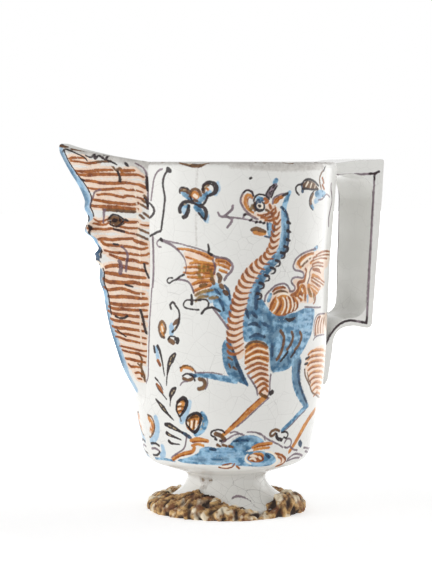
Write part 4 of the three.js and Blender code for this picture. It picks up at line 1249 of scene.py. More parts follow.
def beak_place(sideways, up):
    column = np.rint((sideways + 1) / 2 * (SPOUT_COLUMNS + 2)) - 1
    buried = ((column < 0) | (column > SPOUT_COLUMNS))[:, None]
    across = np.clip(column / SPOUT_COLUMNS * 2 - 1, -1, 1)
    roof = lip_line(across)

    def in_the_wall(height, half):
        return np.column_stack([SINK - wall_radius(height), half * across, height])

    def outside_at(height):
        points, out, flank = skin(height, across)
        rounding = np.clip(1 - (roof - height) / LIP_ROUNDING, 0, 1)
        edge = LIP_PULL * (1 - np.sqrt(1 - rounding**2))
        hold = np.clip((1 - np.abs(across)) / FLANK_HOLD, 0, 1)
        press = (mask_relief(height, np.abs(across) * flank) - edge) * hold
        pressed = points + out * press[:, None]
        side = np.sign(across)
        pressed[:, 1] = side * np.maximum(pressed[:, 1] * side, LEAST_SHARE * np.abs(points[:, 1]))
        return np.where(buried, in_the_wall(height, half_width(height)), pressed)

    def inside_at(height):
        in_wall = in_the_wall(height, half_width(height) - SPOUT_WALL)
        return np.where(buried, in_wall, trough_face(height, across, -SPOUT_WALL))

    row = np.rint(up * BEAK_RUNS.sum())
    done = np.clip((row[:, None] - run_starts) / BEAK_RUNS, 0, 1)
    rise, over, fall, inwards, drop, home = done.T[:, :, None]
    place = outside_at(SPOUT_ROOT + rise[:, 0] * (roof - SPOUT_ROOT)) * (1 - over)
    place += inside_at(roof + fall[:, 0] * (BEAK_FLOOR - roof)) * over
    back_height = BEAK_FLOOR + drop[:, 0] * (SPOUT_ROOT - BEAK_FLOOR)
    back = in_the_wall(back_height, np.maximum(half_width(back_height) - SPOUT_WALL, 1))
    place = place * (1 - inwards) + back * inwards
    return place * (1 - home) + outside_at(np.full(len(row), SPOUT_ROOT)) * home


beak = bent_sheet(SPOUT_COLUMNS + 2, int(BEAK_RUNS.sum()), beak_place)
bmesh.ops.remove_doubles(beak, verts=beak.verts, dist=FINE_MERGE)
bmesh.ops.holes_fill(beak, edges=[edge for edge in beak.edges if edge.is_boundary], sides=0)
clean(beak, FINE_MERGE)
for vert in beak.verts:
    vert.co.x += BEAK_SWAY * noise.noise(vert.co / BEAK_SWAY_LENGTH)
beak_piece = finish_piece("spout_beak", beak, [
    "spout", "mask_brow", "mask_nose", "mask_eye_left", "mask_eye_right", "mask_moustache", "mask_lip",
    "mask_chin",
])

# %% [markdown]
# The flanks are brushed with wavy level stripes, the ridge is blue, and the mask's eye, brow and seam are
# touched in with umber and manganese. A point of these strokes is the share of the way from the ridge to
# the seam, and the height. Both flanks are painted alike. Each stripe lies on a broader ground of peach,
# and swells and thins as the brush did. Strokes on the ridge itself are given in millimetres.

# %% The spout's stripes
STRIPE_SWELL = (0.95, 1.24, 1.15, 0.92)
STRIPE_GROUND = 2.8
spout_painting = []


def flank_stroke(pigment, width, *points):
    shares, heights = np.array(points, dtype=float).T
    asides = shares * skin(heights, shares)[2]
    for side in (-1, 1):
        spout_painting.append((pigment, width, np.column_stack([side * asides, heights]), False))


def flank_strokes(pigment, lines):
    for line in lines:
        flank_stroke(pigment, *line)


for width, *stripe in [
    (1.2, (0.12, 203.5), (0.2, 204.3), (0.34, 204)),
    (1.1, (0.12, 202.4), (0.25, 202), (0.35, 201.2), (0.46, 201.4)),
    (1.5, (0.12, 196.8), (0.3, 196.5), (0.45, 197.3), (0.62, 197.5)), (1.6, (0.72, 197), (0.86, 197.3)),
    (1.6, (0.12, 195.2), (0.25, 194.4), (0.4, 195), (0.6, 195), (0.75, 194.8), (0.88, 194.8),
     (0.94, 193.5)),
    (1.7, (0.18, 191.6), (0.33, 191), (0.42, 190.2), (0.6, 190), (0.75, 190.3), (0.87, 189.4)),
    (2, (0.9, 189.3), (0.97, 187.4)),
    (1.3, (0.17, 187.6), (0.25, 187), (0.4, 186.5), (0.5, 186.7), (0.67, 187.2), (0.75, 186.2),
     (0.83, 186.3), (0.93, 185)),
    (1.4, (0.3, 183.5), (0.42, 184), (0.52, 183.7), (0.62, 182.7), (0.68, 182.3), (0.72, 183),
     (0.8, 182.8), (0.93, 181.3)),
    (1.6, (0.2, 181), (0.35, 180.2), (0.5, 179.3), (0.65, 178.7), (0.78, 178.2), (0.87, 179)),
    (1.7, (0.18, 177.5), (0.35, 177), (0.55, 176.7), (0.72, 176), (0.85, 175.7)),
    (1.2, (0.12, 170), (0.2, 168.5), (0.3, 169), (0.38, 170)),
    (1.2, (0.13, 167.5), (0.22, 166.8), (0.33, 167), (0.42, 168)),
    (1.6, (0.62, 168.5), (0.75, 168.3), (0.84, 168.3)), (1.3, (0.55, 166), (0.7, 165), (0.82, 165)),
    (1.4, (0.06, 165), (0.15, 164.5), (0.3, 164.2), (0.42, 164.7), (0.5, 164), (0.6, 163.3), (0.7, 162.2),
     (0.78, 161.7)), (1.7, (0.15, 158.5), (0.25, 158.9), (0.4, 158.3), (0.55, 158.8), (0.75, 159.2)),
    (2, (0.78, 158), (0.85, 157), (0.95, 156)),
    (1.5, (0.2, 157.5), (0.28, 155.7), (0.4, 155.3), (0.6, 154.7), (0.75, 154.2), (0.88, 153.2),
     (0.97, 154)),
    (1.4, (0.2, 152.5), (0.35, 151.6), (0.5, 151), (0.65, 150.7), (0.8, 150), (0.92, 149.8),
     (0.99, 150.8)),
    (1.8, (0.33, 150), (0.45, 148.5), (0.6, 147.2), (0.72, 147), (0.85, 145.8), (0.96, 145.3)),
    (2, (0.18, 142.8), (0.35, 143.8), (0.5, 143.5), (0.65, 142.5), (0.8, 141.8), (0.92, 141)),
    (2, (0.16, 139.8), (0.3, 139.3), (0.45, 138.6), (0.58, 138), (0.75, 137.4), (0.91, 137)),
    (2.1, (0.14, 136.2), (0.25, 134.6), (0.4, 134.3), (0.55, 134), (0.7, 134.4), (0.85, 133.5),
     (0.97, 133)),
    (1.7, (0.1, 131.5), (0.2, 130), (0.35, 130.5), (0.5, 130.7), (0.65, 129.3), (0.75, 128.3), (0.9, 128)),
    (1.9, (0.16, 126.2), (0.35, 126), (0.5, 126.3), (0.65, 126), (0.8, 125.5), (0.95, 125.3)),
    (1.9, (0.18, 122.5), (0.4, 121.7), (0.6, 121.5), (0.8, 121.5), (0.97, 122)),
    (1.7, (0.14, 120.5), (0.3, 119.3), (0.5, 119.2), (0.7, 118.7), (0.95, 118.7)),
    (1.7, (0.1, 118), (0.25, 116.5), (0.4, 116), (0.6, 115.5), (0.8, 115), (1, 115.2)),
    (1.7, (0.14, 113.5), (0.3, 112.5), (0.45, 112.3), (0.6, 112), (0.75, 111.2), (0.9, 110.8)),
    (1.7, (0.14, 109.2), (0.3, 108.4), (0.5, 108.2), (0.7, 107.5), (0.9, 106.8)),
    (1.4, (0.2, 106.5), (0.35, 105.3), (0.55, 104.8), (0.75, 103.7), (0.95, 102.7)),
    (1.4, (0.15, 103.3), (0.3, 102.8), (0.45, 101.5), (0.6, 101), (0.75, 100.3), (0.95, 99.3)),
    (1.2, (0.2, 98), (0.4, 97.3), (0.6, 96.6), (0.85, 95.6), (1, 95.5)),
    (1.3, (0.25, 95.5), (0.4, 94.8), (0.6, 94.2), (0.75, 94), (0.9, 92.7), (1, 92.3)),
    (1.6, (0.3, 90.7), (0.45, 90.5), (0.6, 90), (0.75, 89.5), (0.95, 89)),
    (1.4, (0.35, 87.5), (0.45, 86), (0.6, 86.2), (0.75, 86)), (1.2, (0.55, 82.4), (0.7, 82.9), (0.85, 82)),
    (1.1, (0.6, 79.4), (0.8, 79)), (1.1, (0.88, 167), (0.95, 166.5), (1.02, 166.6)),
]:
    flank_stroke("rust", np.multiply(width, STRIPE_SWELL), *stripe)
    # The peach ground between the stripes also carries painted shade on the flank, through the peach's
    # darker colour.
    flank_stroke("peach", width + STRIPE_GROUND, *stripe)
print(f"spout: {len(spout_painting)} strokes for the stripes")

# %% The lip, and the mask's eye and brow
# The grey band along the lip is painted shade: it darkens the flank just under the lip's edge.
flank_strokes("worn", [
    (5, (0, 210.4), (0.3, 208.6), (0.55, 205.8), (0.8, 202.6), (0.97, 200.6)),
    (1.8, (0.82, 200.4), (0.93, 197), (0.97, 190)),
])
flank_strokes("umber", [
    (2.4, (0.2, 209.6), (0.34, 208.9)), (1.5, (0.36, 200.9), (0.5, 202), (0.63, 202.3)),
    ((1.4, 2.2, 1), (0, 211), (0.1, 210.6), (0.16, 210.6)),
    (1.4, (0.64, 199), (0.67, 197), (0.72, 198.4), (0.73, 195.4)),
    ((1.6, 2.6, 2.2), (0.37, 175), (0.5, 175.2), (0.7, 174.7), (0.8, 174.3)),
    ((3, 6, 6, 3), (0.41, 169.6), (0.48, 169.2), (0.55, 168.8), (0.62, 168.6)),
    (1.3, (0.65, 94), (0.8, 93), (0.86, 90), (0.82, 86), (0.9, 82.4), (0.94, 78)),
    (1.2, (0.72, 88), (0.84, 85), (0.82, 80.6)),
])
flank_strokes("ink", [
    (1, (0.06, 207.4), (0.12, 209), (0.25, 206.8), (0.34, 204.4), (0.36, 202.5)),
    (1.1, (0.37, 205.4), (0.42, 204.4), (0.47, 206), (0.46, 203.4), (0.51, 205.4), (0.55, 203.6)),
    (1.1, (0.55, 205.8), (0.58, 206.4), (0.6, 205), (0.57, 203.2), (0.55, 204.6)),
    (1.3, (0.6, 202.6), (0.65, 201.5), (0.68, 200.6)), (1.8, (0.785, 201), (0.795, 200)),
    (1.3, (0.68, 196.6), (0.69, 193.6), (0.675, 191)), (1.5, (0.14, 192.2), (0.18, 191.6)),
    (1.1, (0.4, 170.4), (0.47, 172.4), (0.56, 172), (0.63, 169.6), (0.59, 166.6), (0.52, 165.8),
     (0.44, 167)), (2.2, (0.5, 169.4), (0.53, 169.2)), (1.2, (0.44, 169), (0.46, 168.2)),
    (1.2, (0.58, 170), (0.59, 169)), (1.6, (0.665, 169.6), (0.69, 169.2)),
    (1.6, (0.47, 164.3), (0.62, 163)), (1.3, (0.42, 156), (0.5, 155.7)), (1.3, (0.55, 133), (0.68, 132)),
    (1.3, (0.3, 115), (0.4, 114), (0.5, 114.2), (0.58, 115.2)),
    (1, (0.28, 107), (0.38, 105), (0.47, 103.5)),
])
flank_strokes("mauve", [
    (1.1, (0.38, 186.4), (0.28, 185.2), (0.22, 182.5), (0.17, 180), (0.16, 176.6)),
    (1.2, (0.4, 175.4), (0.34, 173.4), (0.3, 170.4), (0.28, 168)),
    (1.3, (0.55, 154.6), (0.62, 152.4), (0.64, 149), (0.6, 144), (0.58, 140.6)),
    (2.2, (0.48, 146.4), (0.5, 143.5), (0.47, 139.6)),
])
print(f"spout: {len(spout_painting)} strokes with the mask's")

# %% The strokes along the seam
for dash in [
    [(0.95, 183), (1, 181)], [(0.93, 180.4), (0.99, 178.4)], [(0.9, 178.2), (0.98, 176)],
    [(0.88, 172.2), (0.92, 170.6)], [(0.93, 173.4), (0.99, 171.4)],
    [(0.85, 164.5), (0.92, 163.3), (0.98, 162.3)], [(0.82, 161.3), (0.9, 160), (0.97, 158.8)],
]:
    flank_stroke("umber", 1.5, *dash)
flank_stroke("mauve", 1, (0.88, 201), (0.94, 199), (0.975, 195.6), (0.985, 190), (0.985, 176))
flank_strokes("ink", [
    ((0.8, 1.8, 1.2), (0.98, 194), (0.985, 190), (0.99, 186)),
    ((1, 1.6, 1), (0.95, 182), (0.98, 180), (0.985, 177)),
])
for height in range(100, 190, 4):
    flank_stroke("cream", 0.7, (0.84, height), (0.845, height - 1.6))
flank_strokes("ink", [
    (1.2, (0.91, 145), (0.93, 141), (0.98, 137)),
    (1.3, (0.84, 119), (0.89, 114), (0.93, 109), (0.97, 105.5)),
])
print(f"spout: {len(spout_painting)} strokes with the seam's")

# %% The blue ridge
for pigment, width, start_height, end_height in [
    ("wash", 8.6, 208, 200), ("wash", 10, 200, 192), ("wash", 12.6, 190, 179), ("wash", 9, 176, 172.6),
    ("wash", 8, 161, 154), ("wash", 8, 138, 112), ("wash", 9, 112, 86), ("wash", 7, 86, 74),
    ("shade", 6, 206, 194), ("blue", 8, 196, 190), ("blue", 9.6, 186, 179), ("shade", 8, 184, 180),
    ("blue", 6, 159, 155), ("navy", 8, 151.4, 147.6), ("shade", 6, 139, 133), ("blue", 6, 128, 116),
    ("blue", 6.4, 104, 92), ("shade", 5, 120, 88), ("ink", 3.4, 170.8, 169.6),
]:
    run = np.array([(0, start_height), (0, end_height)], dtype=float)
    spout_painting.append((pigment, width, run, False))
for pigment, width, *line in [
    ("ink", 1, (5, 208.6), (4.6, 202), (5.2, 197), (6.4, 190), (7, 184), (6.4, 177), (4.4, 171.4)),
    ("ink", 1.3, (2.6, 166.4), (4.4, 165.2), (4.8, 163), (3.2, 161.4)),
    ("ink", 1.2, (-0.6, 166.6), (0.6, 163.4), (0.4, 160)),
    ("ink", 1.2, (3.6, 152.6), (5, 151), (4.6, 148.4)), ("cream", 2.4, (1.6, 145.4), (2.6, 143.8)),
    ("ink", 1, (3.4, 142), (4.4, 138), (4, 132), (4.4, 124), (4.4, 116)),
]:
    for side in (-1, 1):
        spout_painting.append((pigment, width, np.array(line) * (side, 1), False))
print(f"spout: {len(spout_painting)} strokes with the ridge's")

# %% The spout's painting on its mesh
points = points_of(beak_piece)
heights = np.clip(points[:, 2], SPOUT_ROOT, spout_tip)
across = np.clip(points[:, 1] / half_width(heights), -1, 1)
true_skin, _, flank = skin(heights, across)
outer = points[:, 0] < true_skin[:, 0] + PAINTED_SKIN
depths, _ = paint_depths(across * flank, points[:, 2], spout_painting)
store(beak_piece, **{pigment: depth * outer for pigment, depth in depths.items()})

# %% [markdown]
# ## The handle
# The handle is a strap of slab clay with two mitred corners. Seen from the side it is a strip between an
# inner and an outer line, which share their stations, so a grid bent between the two lines and extruded
# across gives the strap. Its arrises are bevelled, and it narrows towards its foot. A curve with a bevel
# would turn the corners round, and here they stay square outside and soft inside.

# %% The handle's measures
arm_low, arm_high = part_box("handle_top_arm")
heel_low, heel_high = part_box("handle_lower_arm")
grip_low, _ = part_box("handle_grip")
handle_top = arm_high.z / MILLIMETRE
handle_reach = (arm_high.x - axis_x) / MILLIMETRE
handle_heel = (heel_high.x - axis_x) / MILLIMETRE
handle_bottom = grip_low.z / MILLIMETRE
tail_end = heel_low.z / MILLIMETRE
arm_top = rim_height - 1
arm_under = arm_top - 7
lower_top = handle_bottom + 5
elbow = handle_bottom - 13
top_corner = (handle_reach, handle_top)
heel_droop = handle_bottom - 1.8
heel_corner = (handle_heel, heel_droop)
inner_top = (handle_reach - 6.4, arm_under + 1)
inner_heel = (handle_heel - 4.6, lower_top)
buried = float(wall_radius(tail_end)) - 3
at_wall = float(wall_radius(arm_under)) - 3
elbow_x = float(wall_radius(elbow)) + 2.6
tail_outside = (float(wall_radius(tail_end)) + 0.4, tail_end)
print(f"handle: from {tail_end:.1f} to {handle_top:.1f} mm, reaching {handle_reach:.1f} mm from the axis")

# %% The strap from the side
STRAP_STEP = 1.1


def matched(outer_run, inner_run):
    count = max(len(evenly(np.array(run, dtype=float), STRAP_STEP)) for run in (outer_run, inner_run))
    lines = []
    for run in (outer_run, inner_run):
        run = np.array(run, dtype=float)
        along = np.concatenate([[0], np.cumsum(np.hypot(*np.diff(run, axis=0).T))])
        places = np.linspace(0, along[-1], count)[:-1]
        lines.append(np.column_stack([np.interp(places, along, axis) for axis in run.T]))
    return lines


arm_end = (handle_reach - 17, handle_top - 0.7)
grip_start = (handle_reach - 0.9, handle_top - 20)
grip_end = (handle_heel + 0.5, handle_bottom + 13)
heel_start = (handle_heel - 12, handle_bottom + 0.3)
inner_arm_end = (inner_top[0] - 16, inner_top[1])
inner_grip_start = (inner_top[0] - 0.6, inner_top[1] - 16)
inner_grip_end = (inner_heel[0] + 0.4, inner_heel[1] + 10)
inner_heel_start = (inner_heel[0] - 10, inner_heel[1])
inner_elbow = (elbow_x - 5, elbow + 4)
top_turn = bend((handle_reach - 2, handle_top), top_corner, (handle_reach, handle_top - 2))
heel_turn = bend((handle_heel, handle_bottom + 2.4), heel_corner, (handle_heel - 4, heel_droop + 0.4))
elbow_turn = bend((elbow_x + 11, handle_bottom), (elbow_x, handle_bottom), (elbow_x, elbow), 10)
tail_swell = (float(wall_radius(tail_end + 3)) + 1.8, tail_end + 3)
runs = [
    ([(at_wall, arm_top), arm_end], [(at_wall, arm_under), inner_arm_end]),
    (np.vstack([[arm_end], top_turn, [grip_start]]), bend(inner_arm_end, inner_top, inner_grip_start, 14)),
    ([grip_start, grip_end], [inner_grip_start, inner_grip_end]),
    (np.vstack([[grip_end], heel_turn, [heel_start]]),
     bend(inner_grip_end, inner_heel, inner_heel_start, 10)),
    (np.vstack([[heel_start], elbow_turn]),
     bend(inner_heel_start, (elbow_x + 1, lower_top), inner_elbow, 10)),
    ([(elbow_x, elbow), tail_swell, tail_outside], [inner_elbow, (buried, tail_end)]),
]
pairs = [matched(*run) for run in runs]
outer_line = np.vstack([pair[0] for pair in pairs] + [[tail_outside]])
inner_line = np.vstack([pair[1] for pair in pairs] + [[(buried, tail_end)]])
print(f"strap: {len(outer_line)} stations from the rim to the end of its tail")

# %% The strap
HANDLE_WIDTH = (arm_high.y - arm_low.y) / MILLIMETRE
HANDLE_FOOT_WIDTH = 37
HANDLE_TAIL_WIDTH = HANDLE_FOOT_WIDTH - 5
STRAP_LAYERS = 20
ACROSS_CUTS = 36
STRAP_MERGE = 0.001
ARRIS_ANGLE = 1.0
ARRIS_WIDTH = 1
HAND_SWAY = 0.35
STRAP_SWAY_LENGTH = 16


def strap_half_width(height):
    return np.interp(height, (handle_bottom - 60, handle_bottom, handle_top),
                     (HANDLE_TAIL_WIDTH, HANDLE_FOOT_WIDTH, HANDLE_WIDTH)) / 2


def strap_place(through_strap, along):
    station = np.rint(along * (len(outer_line) - 1)).astype(int)
    share = ((through_strap + 1) / 2)[:, None]
    place = outer_line[station] * share + inner_line[station] * (1 - share)
    return np.column_stack([place[:, 0], np.full(len(place), -1.0), place[:, 1]])


strap = bent_sheet(STRAP_LAYERS, len(outer_line) - 1, strap_place)
bmesh.ops.translate(strap, vec=(0, 2, 0), verts=pulled_verts(strap))
crossing = [edge for edge in strap.edges if abs(edge.verts[0].co.y - edge.verts[1].co.y) > 1]
bmesh.ops.subdivide_edges(strap, edges=crossing, cuts=ACROSS_CUTS, use_grid_fill=True)
for vert in strap.verts:
    vert.co.y *= float(strap_half_width(vert.co.z))
clean(strap, STRAP_MERGE)
arrises = [
    edge for edge in strap.edges
    if len(edge.link_faces) == 2 and edge.calc_face_angle() > ARRIS_ANGLE
]
bmesh.ops.bevel(strap, geom=arrises, offset=ARRIS_WIDTH, segments=3, profile=0.5, affect="EDGES",
                material=-1, clamp_overlap=True, offset_type="OFFSET")
clean(strap, STRAP_MERGE)
for vert in strap.verts:
    vert.co += HAND_SWAY * noise.noise_vector(vert.co / STRAP_SWAY_LENGTH)
strap_piece = finish_piece("handle_strap", strap,
                           ["handle_top_arm", "handle_grip", "handle_lower_arm"])

# %% [markdown]
# A thin mauve line runs along the strap's inner arris, darker at the corners and on the tail, where the
# brush was set down. It is one path in the side view, held close to the arris.

# %% The lines along the handle
MAUVE_HALF_WIDTH = 0.85
INK_HALF_WIDTH = 0.8
DARK_REACH = 4
points = points_of(strap_piece)
nearest = np.full(len(points), FAR)
line_heel = (inner_heel[0] + 0.6, inner_heel[1] - 3.4)
line_blob = (inner_top[0] + 3, inner_top[1] + 1.2)
inner_bend = pairs[4][1]
inner_tail = pairs[5][1]
edge_line = np.vstack([
    [(at_wall, arm_under), inner_top, line_blob, inner_top, line_heel], inner_bend - (0, 1.4), inner_tail,
])
dark_spots = np.vstack([[inner_top, line_blob, line_heel], inner_bend, inner_tail])
for start, end in zip(edge_line, edge_line[1:]):
    along = end - start
    t = np.clip(((points[:, [0, 2]] - start) @ along) / max(along @ along, TINY), 0, 1)
    flat = points[:, [0, 2]] - start - t[:, None] * along
    aside = np.abs(points[:, 1]) - strap_half_width(points[:, 2]) + 0.4
    nearest = np.minimum(nearest, np.sqrt((flat**2).sum(axis=1) + aside**2))
darkness = np.linalg.norm(points[:, None, [0, 2]] - dark_spots, axis=2).min(axis=1)
paler = np.maximum(darkness - DARK_REACH, 0)
store(strap_piece, mauve=np.maximum(DEPTH + MAUVE_HALF_WIDTH - nearest, 0),
      ink=np.maximum(DEPTH + INK_HALF_WIDTH - nearest - paler, 0))
print(f"handle: lines within 1 mm of {(nearest < 1).sum()} vertices")

# %% [markdown]
# ## The foot
# The foot is a hollow trumpet, thrown by itself and luted under the cup, in the same crackled white glaze.
# It is spun from a profile as the cup is: a bend makes the flare, a smaller one the fillet of slip that
# was smoothed over the joint, and a third the hollow underneath. A few stains and a mauve comma are
# painted on it in the way the wall is.

# %% The foot, thrown
FOOT_RADIUS = 40
FOOT_EDGE = 4.5
FOOT_TURNS = 150
FOOT_WALL = 5
FOOT_SWAY_LENGTH = 18
LEVEL = Vector((1, 1, 0))
FILLET_TOP = foot_height + 2.6
foot_outside = np.vstack([
    [(FOOT_RADIUS, 0)],
    bend((FOOT_RADIUS, FOOT_EDGE), (STEM_RADIUS + 2.4, 9), (STEM_RADIUS - 0.4, foot_height - 3), 24),
    bend((STEM_RADIUS - 0.4, foot_height - 3), (STEM_RADIUS - 0.3, foot_height + 0.4),
         (STEM_RADIUS + 7, FILLET_TOP), 10)[1:],
])
hollow_top = foot_height - FOOT_WALL
foot_hollow = bend((0, hollow_top), (STEM_RADIUS - FOOT_WALL, hollow_top), (FOOT_RADIUS - FOOT_WALL, 0), 16)
foot = thrown(np.vstack([foot_hollow, foot_outside, [(0, FILLET_TOP)]]), FOOT_TURNS)
for vert in foot.verts:
    vert.co += HAND_SWAY * noise.noise_vector(vert.co / FOOT_SWAY_LENGTH) * LEVEL
foot_piece = finish_piece("foot", foot, ["foot_pedestal"])

# %% The foot's stains
points = points_of(foot_piece)
FOOT_PIGMENTS = ("worn", "olive", "umber", "mauve")
foot_painting = [(pigment, width, np.array(line), False) for pigment, width, *line in [
    ("mauve", (0.8, 1.3, 1), (5, 9.4), (8, 10.6), (14, 11.2), (22.8, 10.2), (28, 8.2)),
    ("umber", 1, (-42, 18.4), (-39, 18.8), (-36, 18.2)), ("umber", 0.8, (-37, 16.4), (-35, 16)),
    ("umber", 0.7, (-31, 17.6), (-29, 17.8)), ("worn", 4, (-44, 19.6), (-34, 19), (-24, 19.4)),
    ("worn", 2.4, (-40, 15), (-30, 15.6)), ("olive", 1.1, (-42, 19.6), (-36, 19.2)),
    ("olive", 0.8, (-28, 19.2), (-22, 19.6)),
]]
depths, _ = paint_depths(round_the_jug(points), points[:, 2], foot_painting)
store(foot_piece, **{pigment: depths[pigment] for pigment in FOOT_PIGMENTS})
print(f"foot: {len(foot_painting)} stains")

# %% [markdown]
# ## The ring of bare clay
# A rough coil of clay was left round the edge of the foot. It climbs the flare on the spout's side, is
# nearly worn away in front, and a knob stands next to the thin place. It could be sculpted, but here a
# spun ring is shaped in two steps. Broad swellings push it about first. Then ridges of noise, drawn out
# across the roll, raise strands along the normals, pits sink between them, and each vertex keeps two
# values for the colour: painted shade for its pits and the gaps between strands, and a tone that varies
# at random and is lighter on the strands' tops as painted highlight.


# %% The coil, rolled and pressed
COIL_WIDTH = 5.5
COIL_HEIGHT = 6.5
COIL_SIDES = 48
COIL_TURNS = 420
COIL_HEAPS = ((9.5, -2.62, 0.4), (2, 2.4, 0.5), (3, 1, 0.6))
INNER_EDGE = 0.4
INNER_SPAN = 1.4
THIN_PLACE = -1.5
THIN_WIDTH = 0.13
THIN_NARROWING = 0.3
THIN_LOSS = 0.55
KNOB_PLACE = -0.98
KNOB_WIDTH = 0.3
KNOB_WIDENING = 0.2
KNOB_RISE = 6
ROLL_CENTRE = 0.28
ROLL_HALF = 0.72


def lump(turn, middle, width):
    return math.exp((math.cos(turn - middle) - 1) / width**2)


coil = bmesh.new()
bmesh.ops.create_circle(coil, segments=COIL_SIDES, radius=1, matrix=Matrix.Translation((FOOT_RADIUS, 0, 0))
                        @ Matrix.Rotation(math.pi / 2, 4, "X"))
bmesh.ops.spin(coil, geom=coil.verts[:] + coil.edges[:], axis=(0, 0, 1), cent=(0, 0, 0), angle=2 * math.pi,
               steps=COIL_TURNS, use_merge=True)
clean(coil)
for vert in coil.verts:
    turn = math.atan2(vert.co.y, vert.co.x)
    out = math.hypot(vert.co.x, vert.co.y) - FOOT_RADIUS
    up = vert.co.z
    inward = max(INNER_EDGE - out, 0) / INNER_SPAN
    heap = sum(rise * lump(turn, middle, spread) for rise, middle, spread in COIL_HEAPS)
    worn = lump(turn, THIN_PLACE, THIN_WIDTH)
    knob = math.exp(-(((turn - KNOB_PLACE) / KNOB_WIDTH) ** 4))
    width = COIL_WIDTH * (1 - THIN_NARROWING * worn + KNOB_WIDENING * knob)
    height = COIL_HEIGHT * (1 - THIN_LOSS * worn) + KNOB_RISE * knob
    radius = FOOT_RADIUS + width * out - heap * inward
    vert.co.x = radius * math.cos(turn)
    vert.co.y = radius * math.sin(turn)
    vert.co.z = height * (ROLL_CENTRE + ROLL_HALF * up) + heap * inward
coil.normal_update()
print(f"coil: {len(coil.verts)} vertices pressed into heaps")

# %% The coil, its strands and pits
STRAND = 1.2
STRAND_WIDTH = 4.6
STRAND_LENGTH = 11
STRAND_SLANT = 0.9
STRAND_SHARPNESS = 2.8
PIT = 4.5
PIT_SIZE = 5
PIT_LEVEL = 0.24
PIT_SHIFT = Vector((9, 4, 2))
GRIT = 0.5
GRIT_SIZE = 1.7
SWELL = 1.3
SWELL_LENGTH = 11
WANDER_LENGTH = 6
TONE_LENGTH = 7
CLAY_SHARP_ANGLE = 80
cracks = []
tones = []
for vert, normal in [(vert, vert.normal.copy()) for vert in coil.verts]:
    wander = noise.noise_vector(vert.co / WANDER_LENGTH)
    inset = math.hypot(vert.co.x, vert.co.y) - FOOT_RADIUS
    turn = math.atan2(vert.co.y, vert.co.x) + STRAND_SLANT * inset / FOOT_RADIUS
    lane = Vector((math.cos(turn), math.sin(turn), 0)) * (FOOT_RADIUS / STRAND_WIDTH)
    lane.z = (vert.co.z - inset) / STRAND_LENGTH
    strand = 1 - STRAND_SHARPNESS * abs(noise.noise(lane + 0.35 * wander))
    pit = max(noise.noise((vert.co + 2 * wander) / PIT_SIZE + PIT_SHIFT) - PIT_LEVEL, 0)
    grit = noise.noise(vert.co / GRIT_SIZE)
    swell = STRAND * strand - PIT * pit + GRIT * grit + SWELL * noise.noise(vert.co / SWELL_LENGTH)
    # Painted shade in the pits and between strands, and a tone that is lighter on strand tops as painted
    # highlight.
    cracks.append(min(PIT * pit + 1.1 * max(0.1 - strand, 0), 1))
    tones.append(0.75 * noise.noise(vert.co / TONE_LENGTH) + 0.22 * strand + 0.3 * grit)
    vert.co += normal * swell
    vert.co.z = max(vert.co.z, 0)
coil_piece = finish_piece("foot_clay", coil, ["foot_rim"], CLAY_SHARP_ANGLE)
store(coil_piece, crack=cracks, tone=tones)

# %% [markdown]
# ## Shader maths
# A material is written as an expression. The class wraps one socket of a node tree: operators on it add
# Math nodes, and one method adds any other node with its settings and inputs. Wiring nodes one by one
# does the same, but a sum or a product is easier to read than the links that make it. Colours are given
# as a screen shows them, from 0 to 255, and are made linear for the shader.


# %% The socket class
class Socket:
    def __init__(self, tree, socket=None):
        self.tree = tree
        self.socket = socket

    def node(self, kind, settings=None, inputs=None, output=0):
        made = self.tree.nodes.new(kind)
        for key, value in (settings or {}).items():
            setattr(made, key, value)
        for key, value in (inputs or {}).items():
            if isinstance(value, Socket):
                self.tree.links.new(value.socket, made.inputs[key])
            else:
                made.inputs[key].default_value = value
        return Socket(self.tree, made.outputs[output] if len(made.outputs) else None)

    def math(self, operation, *values, clamp=False):
        return self.node("ShaderNodeMath", {"operation": operation, "use_clamp": clamp},
                         dict(enumerate(values)))

    def __add__(self, other):
        return self.math("ADD", self, other)

    def __sub__(self, other):
        return self.math("SUBTRACT", self, other)

    def __rsub__(self, other):
        return self.math("SUBTRACT", other, self)

    def __mul__(self, other):
        return self.math("MULTIPLY", self, other)

    def __truediv__(self, other):
        return self.math("DIVIDE", self, other)

    __radd__ = __add__
    __rmul__ = __mul__

    def clamped(self):
        return self.math("ADD", self, 0, clamp=True)

    def between(self, first, second):
        inputs = {0: self, 6: first, 7: second}
        return self.node("ShaderNodeMix", {"data_type": "RGBA", "clamp_factor": True}, inputs, output=2)

    def mixed(self, factor, other):
        return factor.between(self, other)

    def cloud(self, scale, detail=3.0):
        return self.node("ShaderNodeTexNoise", {}, {"Vector": self, "Scale": scale, "Detail": detail})

    def attribute(self, name):
        return self.node("ShaderNodeAttribute", {"attribute_name": name}, output="Fac")


def linear(red, green, blue):
    shares = [channel / 255 for channel in (red, green, blue)]
    return tuple(c / 12.92 if c <= 0.04045 else ((c + 0.055) / 1.055) ** 2.4 for c in shares) + (1,)


def new_material(name):
    material = bpy.data.materials.new(name)
    material.use_nodes = True
    material.node_tree.nodes.clear()
    return material, Socket(material.node_tree)


# %% [markdown]
# ## The glaze
# Tin glaze is a glossy off-white that is a little uneven, and it has crazed: fine grey cracks run through
# it in cells about a centimetre wide. The pigments sank into it, so they share its gloss. Each pigment
# has a deep and a thin colour, the share of the white that it hides, and the softness of its edge in
# millimetres.

